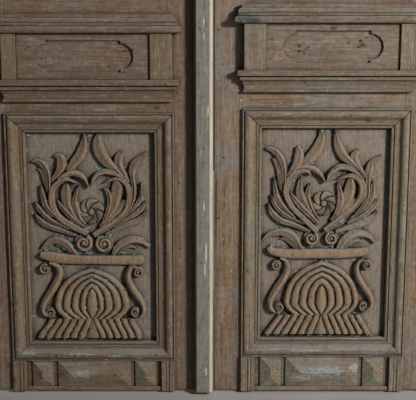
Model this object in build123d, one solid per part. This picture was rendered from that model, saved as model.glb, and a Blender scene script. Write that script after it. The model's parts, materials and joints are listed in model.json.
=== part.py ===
from build123d import *
from math import cos, radians, sin
import os

# A pair of old pine french doors in their frame, in millimetres.
# X runs along the wall, Y from the carved side to the room side, and Z up.
# The origin is on the floor, midway between the jambs and midway through the leaves.

# Doorway and leaves
opening_width = 1210
leaf_height = 2380
leaf_thickness = 45
floor_gap = 6
edge_gap = 3
meeting_gap = 3
left_leaf_reach = 13

# Frame of the doorway
frame_thickness = 45
frame_front = 48
stop_lap = 12
stop_gap = 0.5
jamb_hole_radius = 4.5
jamb_hole_spacing = 1000

# Stiles, rails and their joints
hinge_stile_width = 108
meeting_shoulder = 104
top_rail_height = 120
tenon_length = 60
tenon_thickness = 15
tenon_shoulder = 15

# Carved panel and the moulding round it
moulding_height = 650
moulding_width = 50
moulding_lap = 18
moulding_lift = 9
moulding_foot = {"left": 89, "right": 100}
panel_sink = 18
panel_thickness = 16
groove_depth = 10
groove_clearance = 1
relief = 17

# Cornices and frieze planted on the lock rail
cornice_gap = {"left": 28, "right": 41}
cornice_inset = 3
lower_cornice_height = 55
upper_cornice_height = 45
cornice_root = 14
frieze_height = 114
frieze_thickness = 18
frieze_block_thickness = 25
inner_block_width = 54
outer_block_width = 36
cartouche_margin = 41
cartouche_height = 78
cartouche_radius = 32
cartouche_depth = 7
cartouche_flat_count = 16

# Plinth planted on the bottom rail
post_width = 36
post_thickness = 12
plinth_strip_height = 12
plinth_strip_thickness = 6
small_block_width = 56
post_to_block = 14
block_to_block = 11
block_edge = 5
block_rise = 17

# Strip that covers the meeting of the leaves
strip_width = 47
strip_thickness = 31
strip_foot_round = 8

# Glazed light above the lock rail
sill_margin = 70
glass_rebate = 10
glass_front = 17
glass_thickness = 4
glass_clearance = 2
glazing_bar_width = 28
pane_count = 3
bead_thickness = 14
bead_width = 10

# Lift-off hinges
hinge_foot_inset = 189
hinge_head_inset = 181
hinge_height = 110
hinge_plate_thickness = 2.5
hinge_plate_width = 30
knuckle_radius = 7
knuckle_seat = 0.5
barrel_flat_count = 10
pin_radius = 4
pin_length = 36
running_gap = 0.05
bearing_gap = 0.2

# Lever handles and the long bolt that they drive
plate_over_cornice = 80
lever_length = 118
lever_reach = 75
lever_thickness = 10
lever_neck_radius = 9
spindle_width = 8
spindle_room = 6.5
front_plate_width = 44
front_plate_height = 130
front_plate_thickness = 3
case_width = 40
case_height = 96
case_depth = 24
rod_width = 12
rod_lift = 6
rod_clearance = 0.3
bolt_throw = 18
rod_hold = 16
guide_width = 34
guide_height = 14
guide_inset = 30
guide_wall = 3
keeper_height = 26

# Short bolts on the left leaf
short_bolt_length = 220
short_bolt_offset = 58
short_bar_depth = 6
short_plate_length = 190
short_plate_inset = 20
short_plate_thickness = 2
staple_inset = 6
knob_share = 0.4
knob_width = 12
knob_stand = 16

side_sign = {"left": -1, "right": 1}
front_face = -leaf_thickness / 2
back_face = leaf_thickness / 2
hinge_edge = opening_width / 2 - edge_gap
leaf_width = {
    "left": hinge_edge + left_leaf_reach,
    "right": hinge_edge - left_leaf_reach - meeting_gap,
}
leaf_foot = floor_gap
leaf_head = floor_gap + leaf_height
panel_opening_width = hinge_edge - hinge_stile_width - meeting_shoulder
panel_centre = meeting_shoulder + panel_opening_width / 2
moulding_half = panel_opening_width / 2 + moulding_lap
ground = front_face + panel_sink
head_rebate = leaf_head + edge_gap
cornice_half = moulding_half - cornice_inset
cornice_foot = {side: moulding_foot[side] + moulding_height + cornice_gap[side] for side in side_sign}
cornice_rise = lower_cornice_height + frieze_height + upper_cornice_height
cornice_top = max(cornice_foot.values()) + cornice_rise
lever_x = (meeting_shoulder + left_leaf_reach + meeting_gap) / 2
lever_height = cornice_top + plate_over_cornice + front_plate_height / 2

# Hinges at the foot and the head of the leaf, and one midway between them
hinge_axis_y = back_face + knuckle_radius + knuckle_seat
lowest_hinge = leaf_foot + hinge_foot_inset + hinge_height / 2
highest_hinge = leaf_head - hinge_head_inset - hinge_height / 2
middle_hinge = (lowest_hinge + highest_hinge) / 2
hinge_heights = (lowest_hinge, middle_hinge, highest_hinge)
jamb_hole_heights = (middle_hinge - jamb_hole_spacing / 2, middle_hinge + jamb_hole_spacing / 2)


def block(x0, x1, y0, y1, z0, z1):
    """A squared piece between two opposite corners, given in any order."""
    middle = Pos((x0 + x1) / 2, (y0 + y1) / 2, (z0 + z1) / 2)
    return middle * Box(abs(x1 - x0), abs(y1 - y0), abs(z1 - z0))


def leaf_block(side, u0, u1, y0, y1, z0, z1):
    """A squared piece of one leaf, with u measured from the leaf's hinged edge."""
    sign = side_sign[side]
    return block(sign * (hinge_edge - u0), sign * (hinge_edge - u1), y0, y1, z0, z1)


def outline(points):
    """A flat closed shape. A point's third number bows the edge after it out to the left."""
    edges = []
    for i, point in enumerate(points):
        following = points[(i + 1) % len(points)]
        start = Vector(point[0], point[1])
        end = Vector(following[0], following[1])
        if len(point) == 3:
            run = (end - start).normalized()
            middle = (start + end) * 0.5 + Vector(-run.Y, run.X) * point[2]
            edges.append(ThreePointArc(start, middle, end))
        else:
            edges.append(Line(start, end))
    return make_face(edges)


def upright(section, low, high):
    """A section in plan carried up from one height to another."""
    return extrude(Pos(0, 0, low) * section, amount=high - low)


# Heights of the openings in each leaf
panel_low = {side: moulding_foot[side] + moulding_lap for side in side_sign}
panel_high = {side: moulding_foot[side] + moulding_height - moulding_lap for side in side_sign}
light_low = cornice_top + sill_margin
light_high = leaf_head - top_rail_height
pane_height = (light_high - light_low - (pane_count - 1) * glazing_bar_width) / pane_count
pane_lows = [light_low + i * (pane_height + glazing_bar_width) for i in range(pane_count)]


def rail_tenons(side, low, high):
    """The tongue of a rail, running through it and into both stiles."""
    u0 = hinge_stile_width - tenon_length
    u1 = hinge_stile_width + panel_opening_width + tenon_length
    half = tenon_thickness / 2
    return leaf_block(side, u0, u1, -half, half, low + tenon_shoulder, high - tenon_shoulder)


def rail_sizes(side):
    """Bottom and top of each rail."""
    return {
        "bottom_rail": (leaf_foot, panel_low[side]),
        "lock_rail": (panel_high[side], light_low),
        "top_rail": (light_high, leaf_head),
    }


def panel_groove(side):
    """The groove all round the lower opening that holds the carved panel."""
    u0 = hinge_stile_width - groove_depth
    u1 = hinge_stile_width + panel_opening_width + groove_depth
    low = panel_low[side] - groove_depth
    high = panel_high[side] + groove_depth
    return leaf_block(side, u0, u1, ground, ground + panel_thickness, low, high)


def glass_rebates(side):
    """The rebates round the panes, open to the room side."""
    u0 = hinge_stile_width - glass_rebate
    u1 = hinge_stile_width + panel_opening_width + glass_rebate
    y0 = front_face + glass_front
    cuts = []
    for low in pane_lows:
        cuts.append(leaf_block(side, u0, u1, y0, back_face, low - glass_rebate, low + pane_height + glass_rebate))
    return cuts


def spindle_bore():
    """The hole that the spindle turns in, right through the leaf and what is fixed on it."""
    hole = RegularPolygon(spindle_room, barrel_flat_count, major_radius=False)
    return Pos(lever_x, 0, lever_height) * extrude(Plane.XZ * hole, amount=lever_reach, both=True)


def rail(side, name):
    """A cross rail with its tenons, grooved for the panel or rebated for the glass."""
    low, high = rail_sizes(side)[name]
    u0 = hinge_stile_width
    body = leaf_block(side, u0, u0 + panel_opening_width, front_face, back_face, low, high)
    body += rail_tenons(side, low, high)
    body -= panel_groove(side)
    for cut in glass_rebates(side):
        body -= cut
    return body - spindle_bore() if side == "right" else body


def hinge_plate(side, height, u0, u1):
    """One flat plate of a hinge, with u measured outwards from the leaf's edge."""
    sign = side_sign[side]
    x0 = sign * (hinge_edge + u0)
    x1 = sign * (hinge_edge + u1)
    half = hinge_height / 2
    return block(x0, x1, back_face - hinge_plate_width, back_face, height - half, height + half)


def leaf_plates(side):
    """The plates let into the edge of the leaf, one at each hinge."""
    return [hinge_plate(side, height, -hinge_plate_thickness, 0) for height in hinge_heights]


def jamb_plates(side):
    """The plates let into the jamb, one at each hinge."""
    return [hinge_plate(side, height, edge_gap, edge_gap + hinge_plate_thickness) for height in hinge_heights]


def stile(side, u0, u1):
    """An upright of the leaf with its mortises, groove, rebates and hinge housings."""
    body = leaf_block(side, u0, u1, front_face, back_face, leaf_foot, leaf_head)
    for low, high in rail_sizes(side).values():
        body -= rail_tenons(side, low, high)
    body -= panel_groove(side)
    for cut in glass_rebates(side):
        body -= cut
    for plate in leaf_plates(side):
        body -= plate
    return body


def meeting_stile(side):
    """The upright where the leaves meet. The right one is bored for the spindle."""
    body = stile(side, hinge_stile_width + panel_opening_width, leaf_width[side])
    return body - spindle_bore() if side == "right" else body


# Carving on the lower panels, drawn for an opening of carved_width by carved_height and spread with it.
# The two panels were cut by hand from one design, so each has its own measures, in millimetres from the
# middle of its panel. A strand has points up its middle, from foot to tip, and its widths at even steps.
carved_width = 390
carved_height = 614
stems = {
    "left": [
        ([(-11, 13), (-50, 33), (-85, 58), (-101, 93), (-98, 130), (-76, 151), (-56, 154), (-36, 145)],
         (16, 18, 18, 14, 6)),
        ([(5, 10), (50, 38), (84, 67), (96, 95), (97, 124), (88, 146), (66, 158), (35, 148)],
         (16, 18, 17, 14, 5)),
        ([(-84, 154), (-72, 162), (-49, 171), (-30, 167), (-15, 155), (-5, 133)], (6, 14, 17, 12, 2)),
        ([(92, 148), (72, 165), (52, 173), (35, 175), (19, 170), (7, 158), (1, 142)], (6, 13, 15, 12, 3)),
    ],
    "right": [
        ([(-19, 8), (-61, 49), (-79, 66), (-93, 87), (-100, 107), (-99, 128), (-89, 150), (-70, 162),
          (-51, 166), (-36, 156)], (15, 15, 17, 15, 8)),
        ([(1, 12), (45, 48), (65, 63), (82, 81), (93, 100), (96, 119), (91, 138), (78, 150), (61, 154),
          (31, 146)], (14, 15, 21, 18, 6)),
        ([(-78, 170), (-62, 175), (-43, 175), (-24, 167), (-10, 153), (1, 135)], (8, 14, 17, 12, 3)),
        ([(96, 146), (82, 160), (66, 170), (50, 176), (33, 175), (18, 166), (7, 152), (2, 136)],
         (5, 12, 16, 12, 3)),
    ],
}
scroll_stems = {
    "left": [
        ([(-112, -64), (-99, -68), (-89, -77), (-86, -92), (-91, -108), (-102, -129), (-116, -151),
          (-128, -170), (-133, -186), (-129, -201), (-118, -208)], (10, 18, 21, 17, 9)),
        ([(113, -70), (99, -76), (92, -91), (92, -109), (100, -129), (112, -149), (124, -168),
          (131, -185), (129, -200), (119, -210)], (10, 17, 18, 15, 8)),
    ],
    "right": [
        ([(-112, -62), (-99, -69), (-94, -86), (-98, -106), (-109, -126), (-121, -145), (-132, -165),
          (-138, -183), (-134, -199), (-122, -209)], (9, 17, 20, 17, 9)),
        ([(103, -64), (90, -74), (86, -92), (90, -111), (101, -131), (113, -149), (124, -167),
          (128, -183), (123, -196), (112, -205)], (8, 15, 17, 15, 8)),
    ],
}
leaves = {
    "left": [
        ([(-58, 176), (-41, 198), (-24, 220), (-15, 250), (-15, 273)], (14, 22, 24, 16, 2)),
        ([(92, 153), (73, 170), (57, 185), (36, 206), (22, 232), (19, 256), (21, 274)], (8, 14, 25, 26, 3)),
        ([(-107, 125), (-108, 166), (-114, 183), (-125, 197), (-139, 202), (-152, 201)],
         (8, 13, 16, 12, 3)),
        ([(-100, 152), (-86, 168), (-76, 183), (-73, 197), (-76, 209), (-83, 215), (-93, 214)],
         (8, 17, 25, 17, 5)),
        ([(96, 148), (84, 170), (73, 189), (71, 205), (76, 219), (82, 227)], (8, 14, 21, 18, 3)),
        ([(82, 62), (99, 83), (108, 106), (110, 130), (107, 155), (106, 174), (112, 194), (125, 210),
          (143, 226)], (6, 10, 12, 19, 2)),
        ([(-76, 42), (-91, 57), (-106, 72), (-118, 89), (-126, 122), (-128, 141)], (6, 11, 14, 13, 2)),
        ([(-58, 25), (-92, 42), (-112, 54), (-127, 69), (-137, 83), (-144, 97)], (5, 10, 12, 12, 2)),
        ([(-37, 7), (-80, 23), (-101, 30), (-121, 39), (-136, 52), (-145, 66)], (6, 12, 14, 13, 2)),
        ([(68, 46), (94, 67), (108, 80), (120, 94), (127, 110), (128, 147)], (5, 8, 10, 11, 3)),
        ([(56, 31), (89, 51), (106, 61), (121, 72), (132, 85), (138, 99)], (5, 10, 13, 12, 3)),
        ([(36, 12), (79, 33), (98, 40), (117, 48), (131, 59), (142, 75)], (7, 14, 15, 12, 3)),
        ([(-31, 44), (-46, 61), (-56, 78), (-63, 95), (-64, 130), (-61, 146)], (6, 12, 18, 24, 8)),
        ([(-18, 38), (-32, 56), (-38, 73), (-42, 90), (-42, 107), (-31, 141)], (8, 13, 18, 14, 3)),
        ([(-18, 31), (-40, 47), (-54, 59), (-67, 72), (-78, 85), (-88, 100)], (6, 12, 14, 12, 6)),
        ([(22, 34), (32, 48), (38, 62), (47, 92), (47, 109), (41, 123), (31, 133)], (6, 9, 11, 13, 3)),
        ([(24, 36), (35, 50), (46, 66), (57, 83), (66, 121), (66, 140), (61, 154)], (6, 14, 21, 27, 10)),
        ([(22, 31), (37, 46), (52, 60), (66, 75), (77, 88), (87, 102)], (8, 15, 16, 15, 8)),
        ([(-42, -42), (-55, -27), (-66, -15), (-79, -7), (-94, -3), (-110, -8), (-123, -18), (-132, -28)],
         (9, 17, 19, 15, 3)),
        ([(54, -42), (60, -29), (70, -17), (84, -8), (101, -3), (119, -4), (135, -12), (149, -24)],
         (9, 16, 19, 15, 3)),
    ],
    "right": [
        ([(-60, 178), (-48, 190), (-35, 203), (-24, 218), (-15, 237), (-12, 256), (-16, 275)],
         (12, 24, 27, 19, 2)),
        ([(100, 148), (90, 161), (77, 176), (61, 190), (46, 203), (36, 220), (27, 243), (22, 275)],
         (6, 10, 19, 22, 2)),
        ([(-105, 135), (-105, 156), (-107, 177), (-113, 195), (-123, 210), (-138, 221), (-155, 225)],
         (10, 13, 16, 14, 5)),
        ([(-96, 152), (-82, 170), (-72, 184), (-68, 199), (-68, 214), (-74, 228)], (8, 18, 23, 21, 9)),
        ([(104, 146), (96, 160), (85, 173), (76, 186), (72, 200), (76, 212), (86, 219)],
         (6, 12, 20, 18, 5)),
        ([(80, 55), (95, 72), (106, 92), (110, 114), (109, 135), (110, 154), (113, 173), (120, 190),
          (144, 206)], (5, 10, 11, 19, 2)),
        ([(-74, 42), (-91, 57), (-105, 71), (-117, 87), (-125, 106), (-131, 150)], (5, 10, 14, 16, 4)),
        ([(-52, 28), (-89, 45), (-107, 55), (-122, 70), (-132, 87), (-138, 104)], (5, 10, 11, 10, 2)),
        ([(-36, 8), (-80, 27), (-104, 34), (-125, 47), (-138, 64), (-145, 82)], (7, 13, 15, 13, 2)),
        ([(68, 43), (98, 65), (110, 78), (118, 93), (122, 112), (122, 138)], (5, 9, 12, 16, 7)),
        ([(60, 30), (93, 47), (109, 58), (121, 69), (130, 81), (133, 94)], (6, 11, 13, 14, 6)),
        ([(30, 8), (77, 23), (98, 31), (116, 40), (129, 50), (135, 62)], (9, 17, 18, 14, 5)),
        ([(-28, 44), (-41, 65), (-51, 80), (-60, 97), (-65, 115), (-62, 150)], (6, 12, 19, 20, 8)),
        ([(-16, 40), (-31, 63), (-38, 77), (-44, 94), (-44, 113), (-38, 134)], (7, 11, 14, 13, 6)),
        ([(-16, 30), (-34, 48), (-50, 63), (-65, 78), (-78, 94), (-90, 110)], (7, 14, 15, 13, 4)),
        ([(18, 38), (27, 51), (35, 65), (40, 82), (41, 100), (32, 137)], (6, 10, 16, 18, 5)),
        ([(26, 40), (38, 57), (49, 74), (58, 91), (65, 128), (63, 150)], (6, 14, 22, 26, 8)),
        ([(20, 34), (36, 48), (51, 61), (66, 75), (79, 88), (92, 99)], (8, 18, 19, 15, 5)),
        ([(-56, -42), (-67, -24), (-77, -9), (-90, 2), (-108, 7), (-127, 5), (-146, -2), (-161, -14)],
         (9, 19, 21, 15, 2)),
        ([(35, -42), (43, -29), (53, -14), (67, -3), (85, 3), (104, 1), (120, -8), (133, -23)],
         (10, 19, 21, 15, 3)),
    ],
}
# Middle and radius of the round end of each scroll, and of the flower
scroll_ends = {
    "left": [(-22, -12, 26), (31, -14, 25), (-124, -80, 16), (117, -89, 16), (-114, -197, 15), (109, -196, 14)],
    "right": [(-33, -10, 21), (19, -10, 19), (-122, -81, 15), (112, -81, 15), (-114, -194, 14), (107, -191, 14)],
}
flowers = {"left": (-1, 71, 32), "right": (-3, 81, 31)}
beams = {
    "left": ([(-134, -42), (-120, -45), (-84, -52), (-36, -55), (2, -56), (59, -56), (106, -57), (135, -55)],
             (16, 28, 24, 26, 27)),
    "right": ([(-143, -32), (-133, -44), (-100, -50), (-65, -51), (-20, -50), (30, -50), (66, -49), (94, -47),
               (116, -40)], (14, 25, 27, 26, 22)),
}
# Pointed arches of the bud, from the outside in: half width at the foot, half width at the belly, height
arches = {
    "left": [(76, 98, 138), (48, 77, 124), (27, 54, 112), (12, 32, 99), (1, 15, 82)],
    "right": [(76, 98, 146), (52, 80, 131), (32, 58, 117), (14, 36, 102), (1, 15, 81)],
}
# Ends of the row of slats, at its head and its foot, on the left and on the right
slat_ends = {"left": ((-117, -151), (106, 127)), "right": ((-117, -154), (99, 129))}
eye_share = 0.42
boss_flat_count = 8
eye_flat_count = 6
flower_petals = 7
bud_axis = -4
bud_foot = -214
bud_belly = 46
base_foot = -266
base_triangle_half = 18
base_slats = 6
stem_flat_count = 7
leaf_flat_count = 5


stretch_across = panel_opening_width / carved_width
stretch_up = (moulding_height - 2 * moulding_lap) / carved_height


def spread(points):
    """Points of the drawing carried to their places on the panel."""
    return [(point[0] * stretch_across, point[1] * stretch_up) + tuple(point[2:]) for point in points]


def flat_face(*corners):
    """A flat face between corners in space."""
    return Face(Wire(Polyline(*corners, close=True).edges()))


def strand_lines(points, widths, flat_count):
    """The left edge, the middle and the right edge of a strand, in the flat cuts that a chisel leaves."""
    middle = Spline(*spread(points))
    left, centre, right = [], [], []
    for i in range(flat_count + 1):
        step = i / flat_count * (len(widths) - 1)
        before = min(int(step), len(widths) - 2)
        width = widths[before] + (widths[before + 1] - widths[before]) * (step - before)
        at = middle @ (i / flat_count)
        run = middle % (i / flat_count)
        side = Vector(-run.Y, run.X) * (width / 2)
        left.append(at + side)
        centre.append(at)
        right.append(at - side)
    return left, centre, right


def ridged_strand(points, widths, height):
    """A leaf, cut to a ridge along its middle from the ground on both sides."""
    left, centre, right = strand_lines(points, widths, leaf_flat_count)
    ridge = [at + Vector(0, 0, height) for at in centre]
    faces = [flat_face(*left, *reversed(right))]
    for near, far in ((left, ridge), (ridge, right)):
        for i in range(leaf_flat_count):
            faces.append(flat_face(near[i], near[i + 1], far[i]))
            faces.append(flat_face(far[i], near[i + 1], far[i + 1]))
    for i in (0, -1):
        faces.append(flat_face(left[i], ridge[i], right[i]))
    return Solid(Shell(faces))


def flat_strand(points, widths, height):
    """A stem or a beam, with upright sides and a flat top."""
    left, centre, right = strand_lines(points, widths, stem_flat_count)
    return extrude(flat_face(*left, *reversed(right)), amount=height, dir=(0, 0, 1))


def boss(x, z, radius):
    """The round end of a scroll: a disc with its eye raised in the middle."""
    disc = extrude(RegularPolygon(radius, boss_flat_count), amount=relief * 0.75)
    eye = extrude(RegularPolygon(radius * eye_share, eye_flat_count), amount=relief)
    return Pos(*spread([(x, z)])[0], 0) * (disc + eye)


def flower(x, z, radius):
    """A round flower with a button in the middle and fluted petals."""
    flute_count = 2 * flower_petals
    rim = []
    for i in range(flute_count):
        angle = radians(360 * i / flute_count)
        height = relief * (0.4 if i % 2 else 0.75)
        rim.append(Vector(radius * cos(angle), radius * sin(angle), height))
    foot = [Vector(point.X, point.Y, 0) for point in rim]
    crown = Vector(0, 0, relief * 0.6)
    faces = [flat_face(*foot)]
    for i in range(flute_count):
        following = (i + 1) % flute_count
        faces.append(flat_face(foot[i], foot[following], rim[following], rim[i]))
        faces.append(flat_face(rim[i], rim[following], crown))
    button = extrude(RegularPolygon(radius * 0.3, eye_flat_count), amount=relief * 0.85)
    return Pos(*spread([(x, z)])[0], 0) * (Solid(Shell(faces)) + button)


def arch_line(foot, half, top, height):
    """Corners of a pointed arch of the bud, from its right foot over the point to its left foot."""
    rise = top - bud_belly
    right = [
        (foot, 0), (half * 0.97, bud_belly / 2), (half, bud_belly), (half * 0.86, bud_belly + rise * 0.42),
        (half * 0.5, bud_belly + rise * 0.78),
    ]
    both = right + [(0, top)] + [(-x, z) for x, z in reversed(right)]
    return [Vector(*point) for point in spread([(bud_axis + x, bud_foot + z, height) for x, z in both])]


def bud(sizes):
    """The closed bud: ridged ribs inside each other, with grooves between them and an almond in the middle."""
    rings = [arch_line(*sizes[0], 0)]
    for i, size in enumerate(sizes):
        rings.append(arch_line(*size, relief * 0.5))
        if i < len(sizes) - 1:
            between = [(a + b) / 2 for a, b in zip(size, sizes[i + 1])]
            rings.append(arch_line(*between, relief * 0.95))
    faces = [flat_face(*rings[0])]
    for outer, inner in zip(rings, rings[1:]):
        for i in range(len(outer) - 1):
            faces.append(flat_face(outer[i], outer[i + 1], inner[i]))
            faces.append(flat_face(inner[i], outer[i + 1], inner[i + 1]))
    almond = rings[-1]
    crown = Vector(*spread([(bud_axis, bud_foot + bud_belly, relief * 0.95)])[0])
    for i in range(len(almond)):
        faces.append(flat_face(almond[i - 1], almond[i], crown))
    faces.append(flat_face(*[ring[0] for ring in rings], *[ring[-1] for ring in reversed(rings)]))
    return Solid(Shell(faces))


def slats(ends):
    """The splayed foot of the carving: ridged slats slanting out from a small triangle."""
    heads, feet = [], []
    for sign, (head_end, foot_end) in zip((-1, 1), ends):
        steps = [i / 2 / base_slats for i in range(2 * base_slats + 1)]
        for share in (reversed(steps) if sign < 0 else steps):
            triangle_end = bud_axis + sign * base_triangle_half
            height = relief * (0.4 if share * base_slats % 1 == 0 else 0.85)
            heads.append((bud_axis + share * (head_end - bud_axis), bud_foot, height))
            feet.append((triangle_end + share * (foot_end - triangle_end), base_foot, height))
    heads = [Vector(*point) for point in spread(heads)]
    feet = [Vector(*point) for point in spread(feet)]
    middle = len(heads) // 2
    faces = []
    for i in range(1, len(heads)):
        if i != middle:
            faces.append(flat_face(heads[i - 1], feet[i - 1], heads[i]))
        faces.append(flat_face(heads[i], feet[i - 1], feet[i]))
    ground_corners = [Vector(point.X, point.Y, 0) for point in (heads[0], heads[-1], feet[-1], feet[0])]
    faces.append(flat_face(*ground_corners))
    faces.append(flat_face(*heads[:middle], *heads[middle + 1:], ground_corners[1], ground_corners[0]))
    faces.append(flat_face(*feet, ground_corners[2], ground_corners[3]))
    faces.append(flat_face(heads[0], feet[0], ground_corners[3], ground_corners[0]))
    faces.append(flat_face(heads[-1], feet[-1], ground_corners[2], ground_corners[1]))
    return Solid(Shell(faces))


def carving(side):
    """The whole ornament of one panel, flat on the XY plane and rising along Z."""
    pieces = []
    for i, stroke in enumerate(stems[side] + scroll_stems[side] + [beams[side]]):
        pieces.append(flat_strand(*stroke, relief * (0.9 + 0.015 * i)))
    pieces += [ridged_strand(*stroke, relief * 0.88) for stroke in leaves[side]]
    pieces += [boss(*end) for end in scroll_ends[side]]
    return pieces + [flower(*flowers[side]), bud(arches[side]), slats(slat_ends[side])]


def carved_panel(side):
    """The carved board, with its middle at the origin of the plan and its ground at height zero."""
    tongue = groove_depth - groove_clearance
    width = panel_opening_width + 2 * tongue
    height = moulding_height - 2 * moulding_lap + 2 * tongue
    board = Pos(0, 0, -panel_thickness / 2) * Box(width, height, panel_thickness)
    board = board.fuse(*carving(side))
    return Rot(X=90) * board


def place_panel(side):
    """The carved board in its groove."""
    middle = (panel_low[side] + panel_high[side]) / 2
    return Pos(side_sign[side] * panel_centre, ground, middle) * carved_panel(side)


def moulding_section():
    """The bolection moulding: u inwards from its outer edge, v forwards from the face of the stile."""
    lift = moulding_lift
    return outline([
        (0, 0),
        (0, lift),
        (5, lift),
        (6.5, lift + 1, 3.5),
        (27, lift - 1, -1.5),
        (39, 2),
        (43, 2),
        (44, 0),
        (moulding_width - 1, -2),
        (moulding_width, -4),
        (moulding_width, -panel_sink),
        (moulding_lap, -panel_sink),
        (moulding_lap, 0),
    ])


def moulding_side(length):
    """One side of the moulding along X, its outer edge at z = 0 and its ends mitred."""
    run = Plane.YZ * Pos(0, 0, -length / 2) * Rot(Z=90) * moulding_section()
    bar = extrude(run, amount=length)
    half = length / 2
    reach = 2 * panel_sink + 2 * moulding_width
    mitre = outline([(-half, 0), (-half + moulding_width, moulding_width), (half - moulding_width, moulding_width), (half, 0)])
    wedge = Rot(X=90) * Pos(0, 0, -reach / 2) * extrude(mitre, amount=reach)
    return bar & wedge


def panel_moulding(side):
    """Four mitred sides round the carved panel."""
    centre = side_sign[side] * panel_centre
    low = moulding_foot[side]
    middle = low + moulding_height / 2
    across = moulding_side(2 * moulding_half)
    tall = moulding_side(moulding_height)
    return [
        Pos(centre, front_face, low) * across,
        Pos(centre, front_face, low + moulding_height) * Rot(Y=180) * across,
        Pos(centre - moulding_half, front_face, middle) * Rot(Y=90) * tall,
        Pos(centre + moulding_half, front_face, middle) * Rot(Y=-90) * tall,
    ]


def returned(section, foot, side):
    """A cornice whose section, as (height, forwards), also turns back round both its ends."""
    highest = section[-1][0]
    profile = outline([(0, foot)] + [(-p[1], foot + p[0]) + tuple(p[2:]) for p in section] + [(0, foot + highest)])
    reach = cornice_half + cornice_root + 4 * frieze_block_thickness
    run = extrude(Plane.YZ * profile, amount=reach, both=True)
    end = cornice_half - cornice_root
    left = [(-end - p[1], foot + p[0]) + tuple(p[2:]) for p in section]
    right = []
    for i in range(len(section) - 1, -1, -1):
        bow = section[i - 1][2:] if i > 0 else ()
        right.append((end + section[i][1], foot + section[i][0]) + tuple(bow))
    across = extrude(Plane.XZ * outline(left + right), amount=reach, both=True)
    return Pos(side_sign[side] * panel_centre, front_face, 0) * (run & across)


def lower_cornice(side):
    """The shelf under the frieze: bead, hollow, bead and a plain top edge."""
    section = [
        (0, 14, 1), (8, 14), (9, 13, -1.5), (29, 20), (31, 22, 1), (39, 24), (41, 30),
        (lower_cornice_height, 30),
    ]
    return returned(section, cornice_foot[side], side)


def upper_cornice(side):
    """The hood over the frieze: a round nose with steps back to the rail."""
    section = [
        (0, 33, 3.5), (17, 35), (18, 30, 1.5), (36, 25), (37, 20), (upper_cornice_height, 20),
    ]
    foot = cornice_foot[side] + lower_cornice_height + frieze_height
    return returned(section, foot, side)


def frieze_span(side):
    """Left and right ends of the frieze board, between its end blocks."""
    sign = side_sign[side]
    meeting_end = sign * (panel_centre - cornice_half + inner_block_width)
    hinge_end = sign * (panel_centre + cornice_half - outer_block_width)
    return meeting_end, hinge_end


def frieze_board(side):
    """The board between the cornices, with a sunk tablet that has round ends."""
    meeting_end, hinge_end = frieze_span(side)
    low = cornice_foot[side] + lower_cornice_height
    front = front_face - frieze_thickness
    board = block(meeting_end, hinge_end, front, front_face, low, low + frieze_height)
    centre = (meeting_end + hinge_end) / 2
    tablet_half = abs(hinge_end - meeting_end) / 2 - cartouche_margin - cartouche_radius
    tablet = Box(2 * tablet_half, cartouche_depth, cartouche_height)
    end = RegularPolygon(cartouche_radius, cartouche_flat_count)
    for sign in (-1, 1):
        tablet += Pos(sign * tablet_half, 0, 0) * extrude(Plane.XZ * end, amount=cartouche_depth / 2, both=True)
    return board - Pos(centre, front + cartouche_depth / 2, low + frieze_height / 2) * tablet


def frieze_blocks(side):
    """The two blocks with upright grain at the ends of the frieze."""
    sign = side_sign[side]
    meeting_end, hinge_end = frieze_span(side)
    low = cornice_foot[side] + lower_cornice_height
    front = front_face - frieze_block_thickness
    return [
        block(meeting_end, meeting_end - sign * inner_block_width, front, front_face, low, low + frieze_height),
        block(hinge_end, hinge_end + sign * outer_block_width, front, front_face, low, low + frieze_height),
    ]


def plinth_posts(side):
    """The reeded posts at both ends of the plinth."""
    t = post_thickness
    w = post_width
    section = outline([
        (0, 0), (0, t), (w * 0.42, t), (w * 0.46, t - 3), (w * 0.5, t - 1.5, 0.8), (w * 0.66, t - 1.5),
        (w * 0.7, t - 3), (w * 0.74, t - 1), (w, t - 1), (w, 0),
    ])
    centre = side_sign[side] * panel_centre
    posts = []
    for sign in (-1, 1):
        post = upright(section, leaf_foot, moulding_foot[side])
        if sign < 0:
            post = Pos(centre - moulding_half, front_face, 0) * mirror(post, Plane.XZ)
        else:
            post = Pos(centre + moulding_half, front_face, 0) * Rot(Z=180) * post
        posts.append(post)
    return posts


def hip_profile(span, slope):
    """The outline of a hipped block seen from one end, its back along the first axis."""
    half = span / 2
    points = [(-half, 0), (-half, -block_edge), (-half + slope, -block_rise)]
    if half > slope:
        points.append((half - slope, -block_rise))
    return points + [(half, -block_edge), (half, 0)]


def hipped_block(width, height):
    """A block with four sloping faces that meet in a point or a ridge, its back on the XZ plane."""
    slope = min(width, height) / 2
    across = outline(hip_profile(width, slope))
    upwards = outline([(y, z) for z, y in hip_profile(height, slope)])
    return extrude(across, amount=height, both=True) & extrude(Plane.YZ * upwards, amount=width, both=True)


def plinth_blocks(side):
    """Two small pointed blocks with a long hipped block between them."""
    low = leaf_foot + plinth_strip_height
    height = moulding_foot[side] - low
    centre = side_sign[side] * panel_centre
    small_at = moulding_half - post_width - post_to_block - small_block_width / 2
    middle_block_width = 2 * (small_at - small_block_width / 2 - block_to_block)
    middle = low + height / 2
    return [
        Pos(centre - small_at, front_face, middle) * hipped_block(small_block_width, height),
        Pos(centre, front_face, middle) * hipped_block(middle_block_width, height),
        Pos(centre + small_at, front_face, middle) * hipped_block(small_block_width, height),
    ]


def plinth_strip(side):
    """The thin board under the blocks, between the posts."""
    half = moulding_half - post_width
    centre = side_sign[side] * panel_centre
    front = front_face - plinth_strip_thickness
    return block(centre - half, centre + half, front, front_face, leaf_foot, leaf_foot + plinth_strip_height)


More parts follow.
